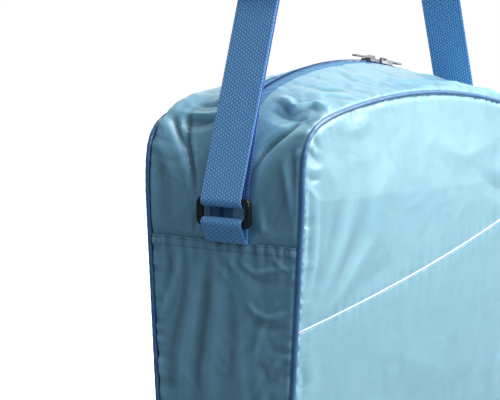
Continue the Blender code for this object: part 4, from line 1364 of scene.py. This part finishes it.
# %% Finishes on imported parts
KEPT = {"zipper_slider_left": metal_finish, "zipper_slider_right": metal_finish,
        "pull_tab_left": metal_finish, "pull_tab_right": metal_finish,
        "seam_binding_front": binding_finish, "seam_binding_back": binding_finish,
        "base_board": board_finish}
for name, finish in KEPT.items():
    packed = frame["nodes"][name]
    packed.data.materials.clear()
    packed.data.materials.append(finish)
print(f"{len(KEPT)} packed parts keep their shape")

# %% [markdown]
# ## Floor, light and camera
#
# A pale floor and a near-white surround give the bright, open look of a shop
# window. One large soft light stands in front and to the right, so the front panel
# is bright and the end of the bag falls into soft shade. The camera is low and far
# away with a long lens, which keeps upright lines upright.


# %% Floor and lights
floor = new_piece("floor", [(-6, -6, 0), (6, -6, 0), (6, 9, 0), (-6, 9, 0)], [(0, 1, 2, 3)])
floor_finish, floor_tree, floor_shader = start_material("pale_floor", Roughness=0.9)
seen = add_node(floor_tree, "ShaderNodeLightPath")
paint = add_node(floor_tree, "ShaderNodeMix", data_type="RGBA")
paint.inputs[6].default_value = (0.10, 0.12, 0.14, 1.0)
paint.inputs[7].default_value = (0.92, 0.92, 0.92, 1.0)
floor_tree.links.new(seen.outputs["Is Camera Ray"], paint.inputs[0])
floor_tree.links.new(paint.outputs[2], floor_shader.inputs["Base Color"])
floor_shader.inputs["Emission Color"].default_value = (1.0, 1.0, 1.0, 1.0)
floor_tree.links.new(sums(floor_tree, "MULTIPLY", seen.outputs["Is Camera Ray"], 0.85),
                     floor_shader.inputs["Emission Strength"])
floor.data.materials.append(floor_finish)


def soft_light(name, place, aim, size, power, colour=(1.0, 1.0, 1.0)):
    """A square area light at a place, turned to face a point."""
    data = bpy.data.lights.new(name, "AREA")
    data.size = size
    data.energy = power
    data.color = colour
    light = bpy.data.objects.new(name, data)
    light.location = place
    way = np.array(aim) - np.array(place)
    light.rotation_euler = (math.atan2(math.hypot(way[0], way[1]), -way[2]), 0.0,
                            math.atan2(way[1], way[0]) - 0.5 * math.pi)
    bpy.context.scene.collection.objects.link(light)


soft_light("key", (1.3, -2.2, 1.5), (0.0, 0.0, 0.25), 1.8, 56.0, (1.0, 0.972, 0.915))
soft_light("overhead", (0.45, -0.9, 2.2), (0.0, 0.0, 0.3), 1.3, 47.0, (1.0, 0.96, 0.89))
soft_light("grazing", (-0.62, -2.3, 1.25), (-0.1, 0.0, 0.3), 0.6, 12.0)

world = bpy.data.worlds.new("studio")
bpy.context.scene.world = world
world.use_nodes = True
studio = world.node_tree
surround = studio.nodes["Background"]
direction = add_node(studio, "ShaderNodeSeparateXYZ")
studio.links.new(add_node(studio, "ShaderNodeTexCoord").outputs["Generated"],
                 direction.inputs[0])
height = sums(studio, "MULTIPLY_ADD", direction.outputs["Z"], 0.5, 0.5)
sky = tone_ramp(studio, height, (0.108, 0.162, 0.218), (0.60, 0.72, 0.86), 0.46, 1.0)
sideways = sums(studio, "MULTIPLY_ADD", direction.outputs["Y"], -0.45, 0.75)
dimmed = add_node(studio, "ShaderNodeVectorMath", operation="SCALE")
studio.links.new(sky, dimmed.inputs[0])
studio.links.new(sideways, dimmed.inputs["Scale"])
path_kind = add_node(studio, "ShaderNodeLightPath")
# What glossy cloth mirrors: a white backdrop to the right, a dim room to the left.
mirrored_tone = sums(studio, "MULTIPLY_ADD", direction.outputs["X"], 0.85, 0.34)
mirrored_tone = sums(studio, "MINIMUM", sums(studio, "MAXIMUM", mirrored_tone, 0.14), 1.0)
glossy = add_node(studio, "ShaderNodeMix", data_type="RGBA")
studio.links.new(path_kind.outputs["Is Glossy Ray"], glossy.inputs[0])
studio.links.new(dimmed.outputs[0], glossy.inputs[6])
studio.links.new(mirrored_tone, glossy.inputs[7])
tone = add_node(studio, "ShaderNodeMix", data_type="RGBA")
tone.inputs[7].default_value = (1.0, 1.0, 1.0, 1.0)
studio.links.new(glossy.outputs[2], tone.inputs[6])
studio.links.new(path_kind.outputs["Is Camera Ray"], tone.inputs[0])
studio.links.new(tone.outputs[2], surround.inputs["Color"])

# %% Camera
AZIMUTH, ELEVATION = math.radians(-50.2), math.radians(5.8)
DISTANCE, LENS = 1.90, 140.3
AIM = np.array((-0.154, 0.0, 0.294))
camera_data = bpy.data.cameras.new("camera")
camera_data.sensor_width = 36.0
camera_data.lens = LENS
camera = bpy.data.objects.new("camera", camera_data)
look_from = np.array((math.sin(AZIMUTH) * math.cos(ELEVATION),
                      -math.cos(AZIMUTH) * math.cos(ELEVATION), math.sin(ELEVATION)))
camera.location = AIM + look_from * DISTANCE
camera.rotation_euler = (0.5 * math.pi - ELEVATION, 0.0, AZIMUTH)
bpy.context.scene.collection.objects.link(camera)
bpy.context.scene.camera = camera
bpy.context.scene.view_settings.view_transform = "Standard"

bpy.context.view_layer.update()
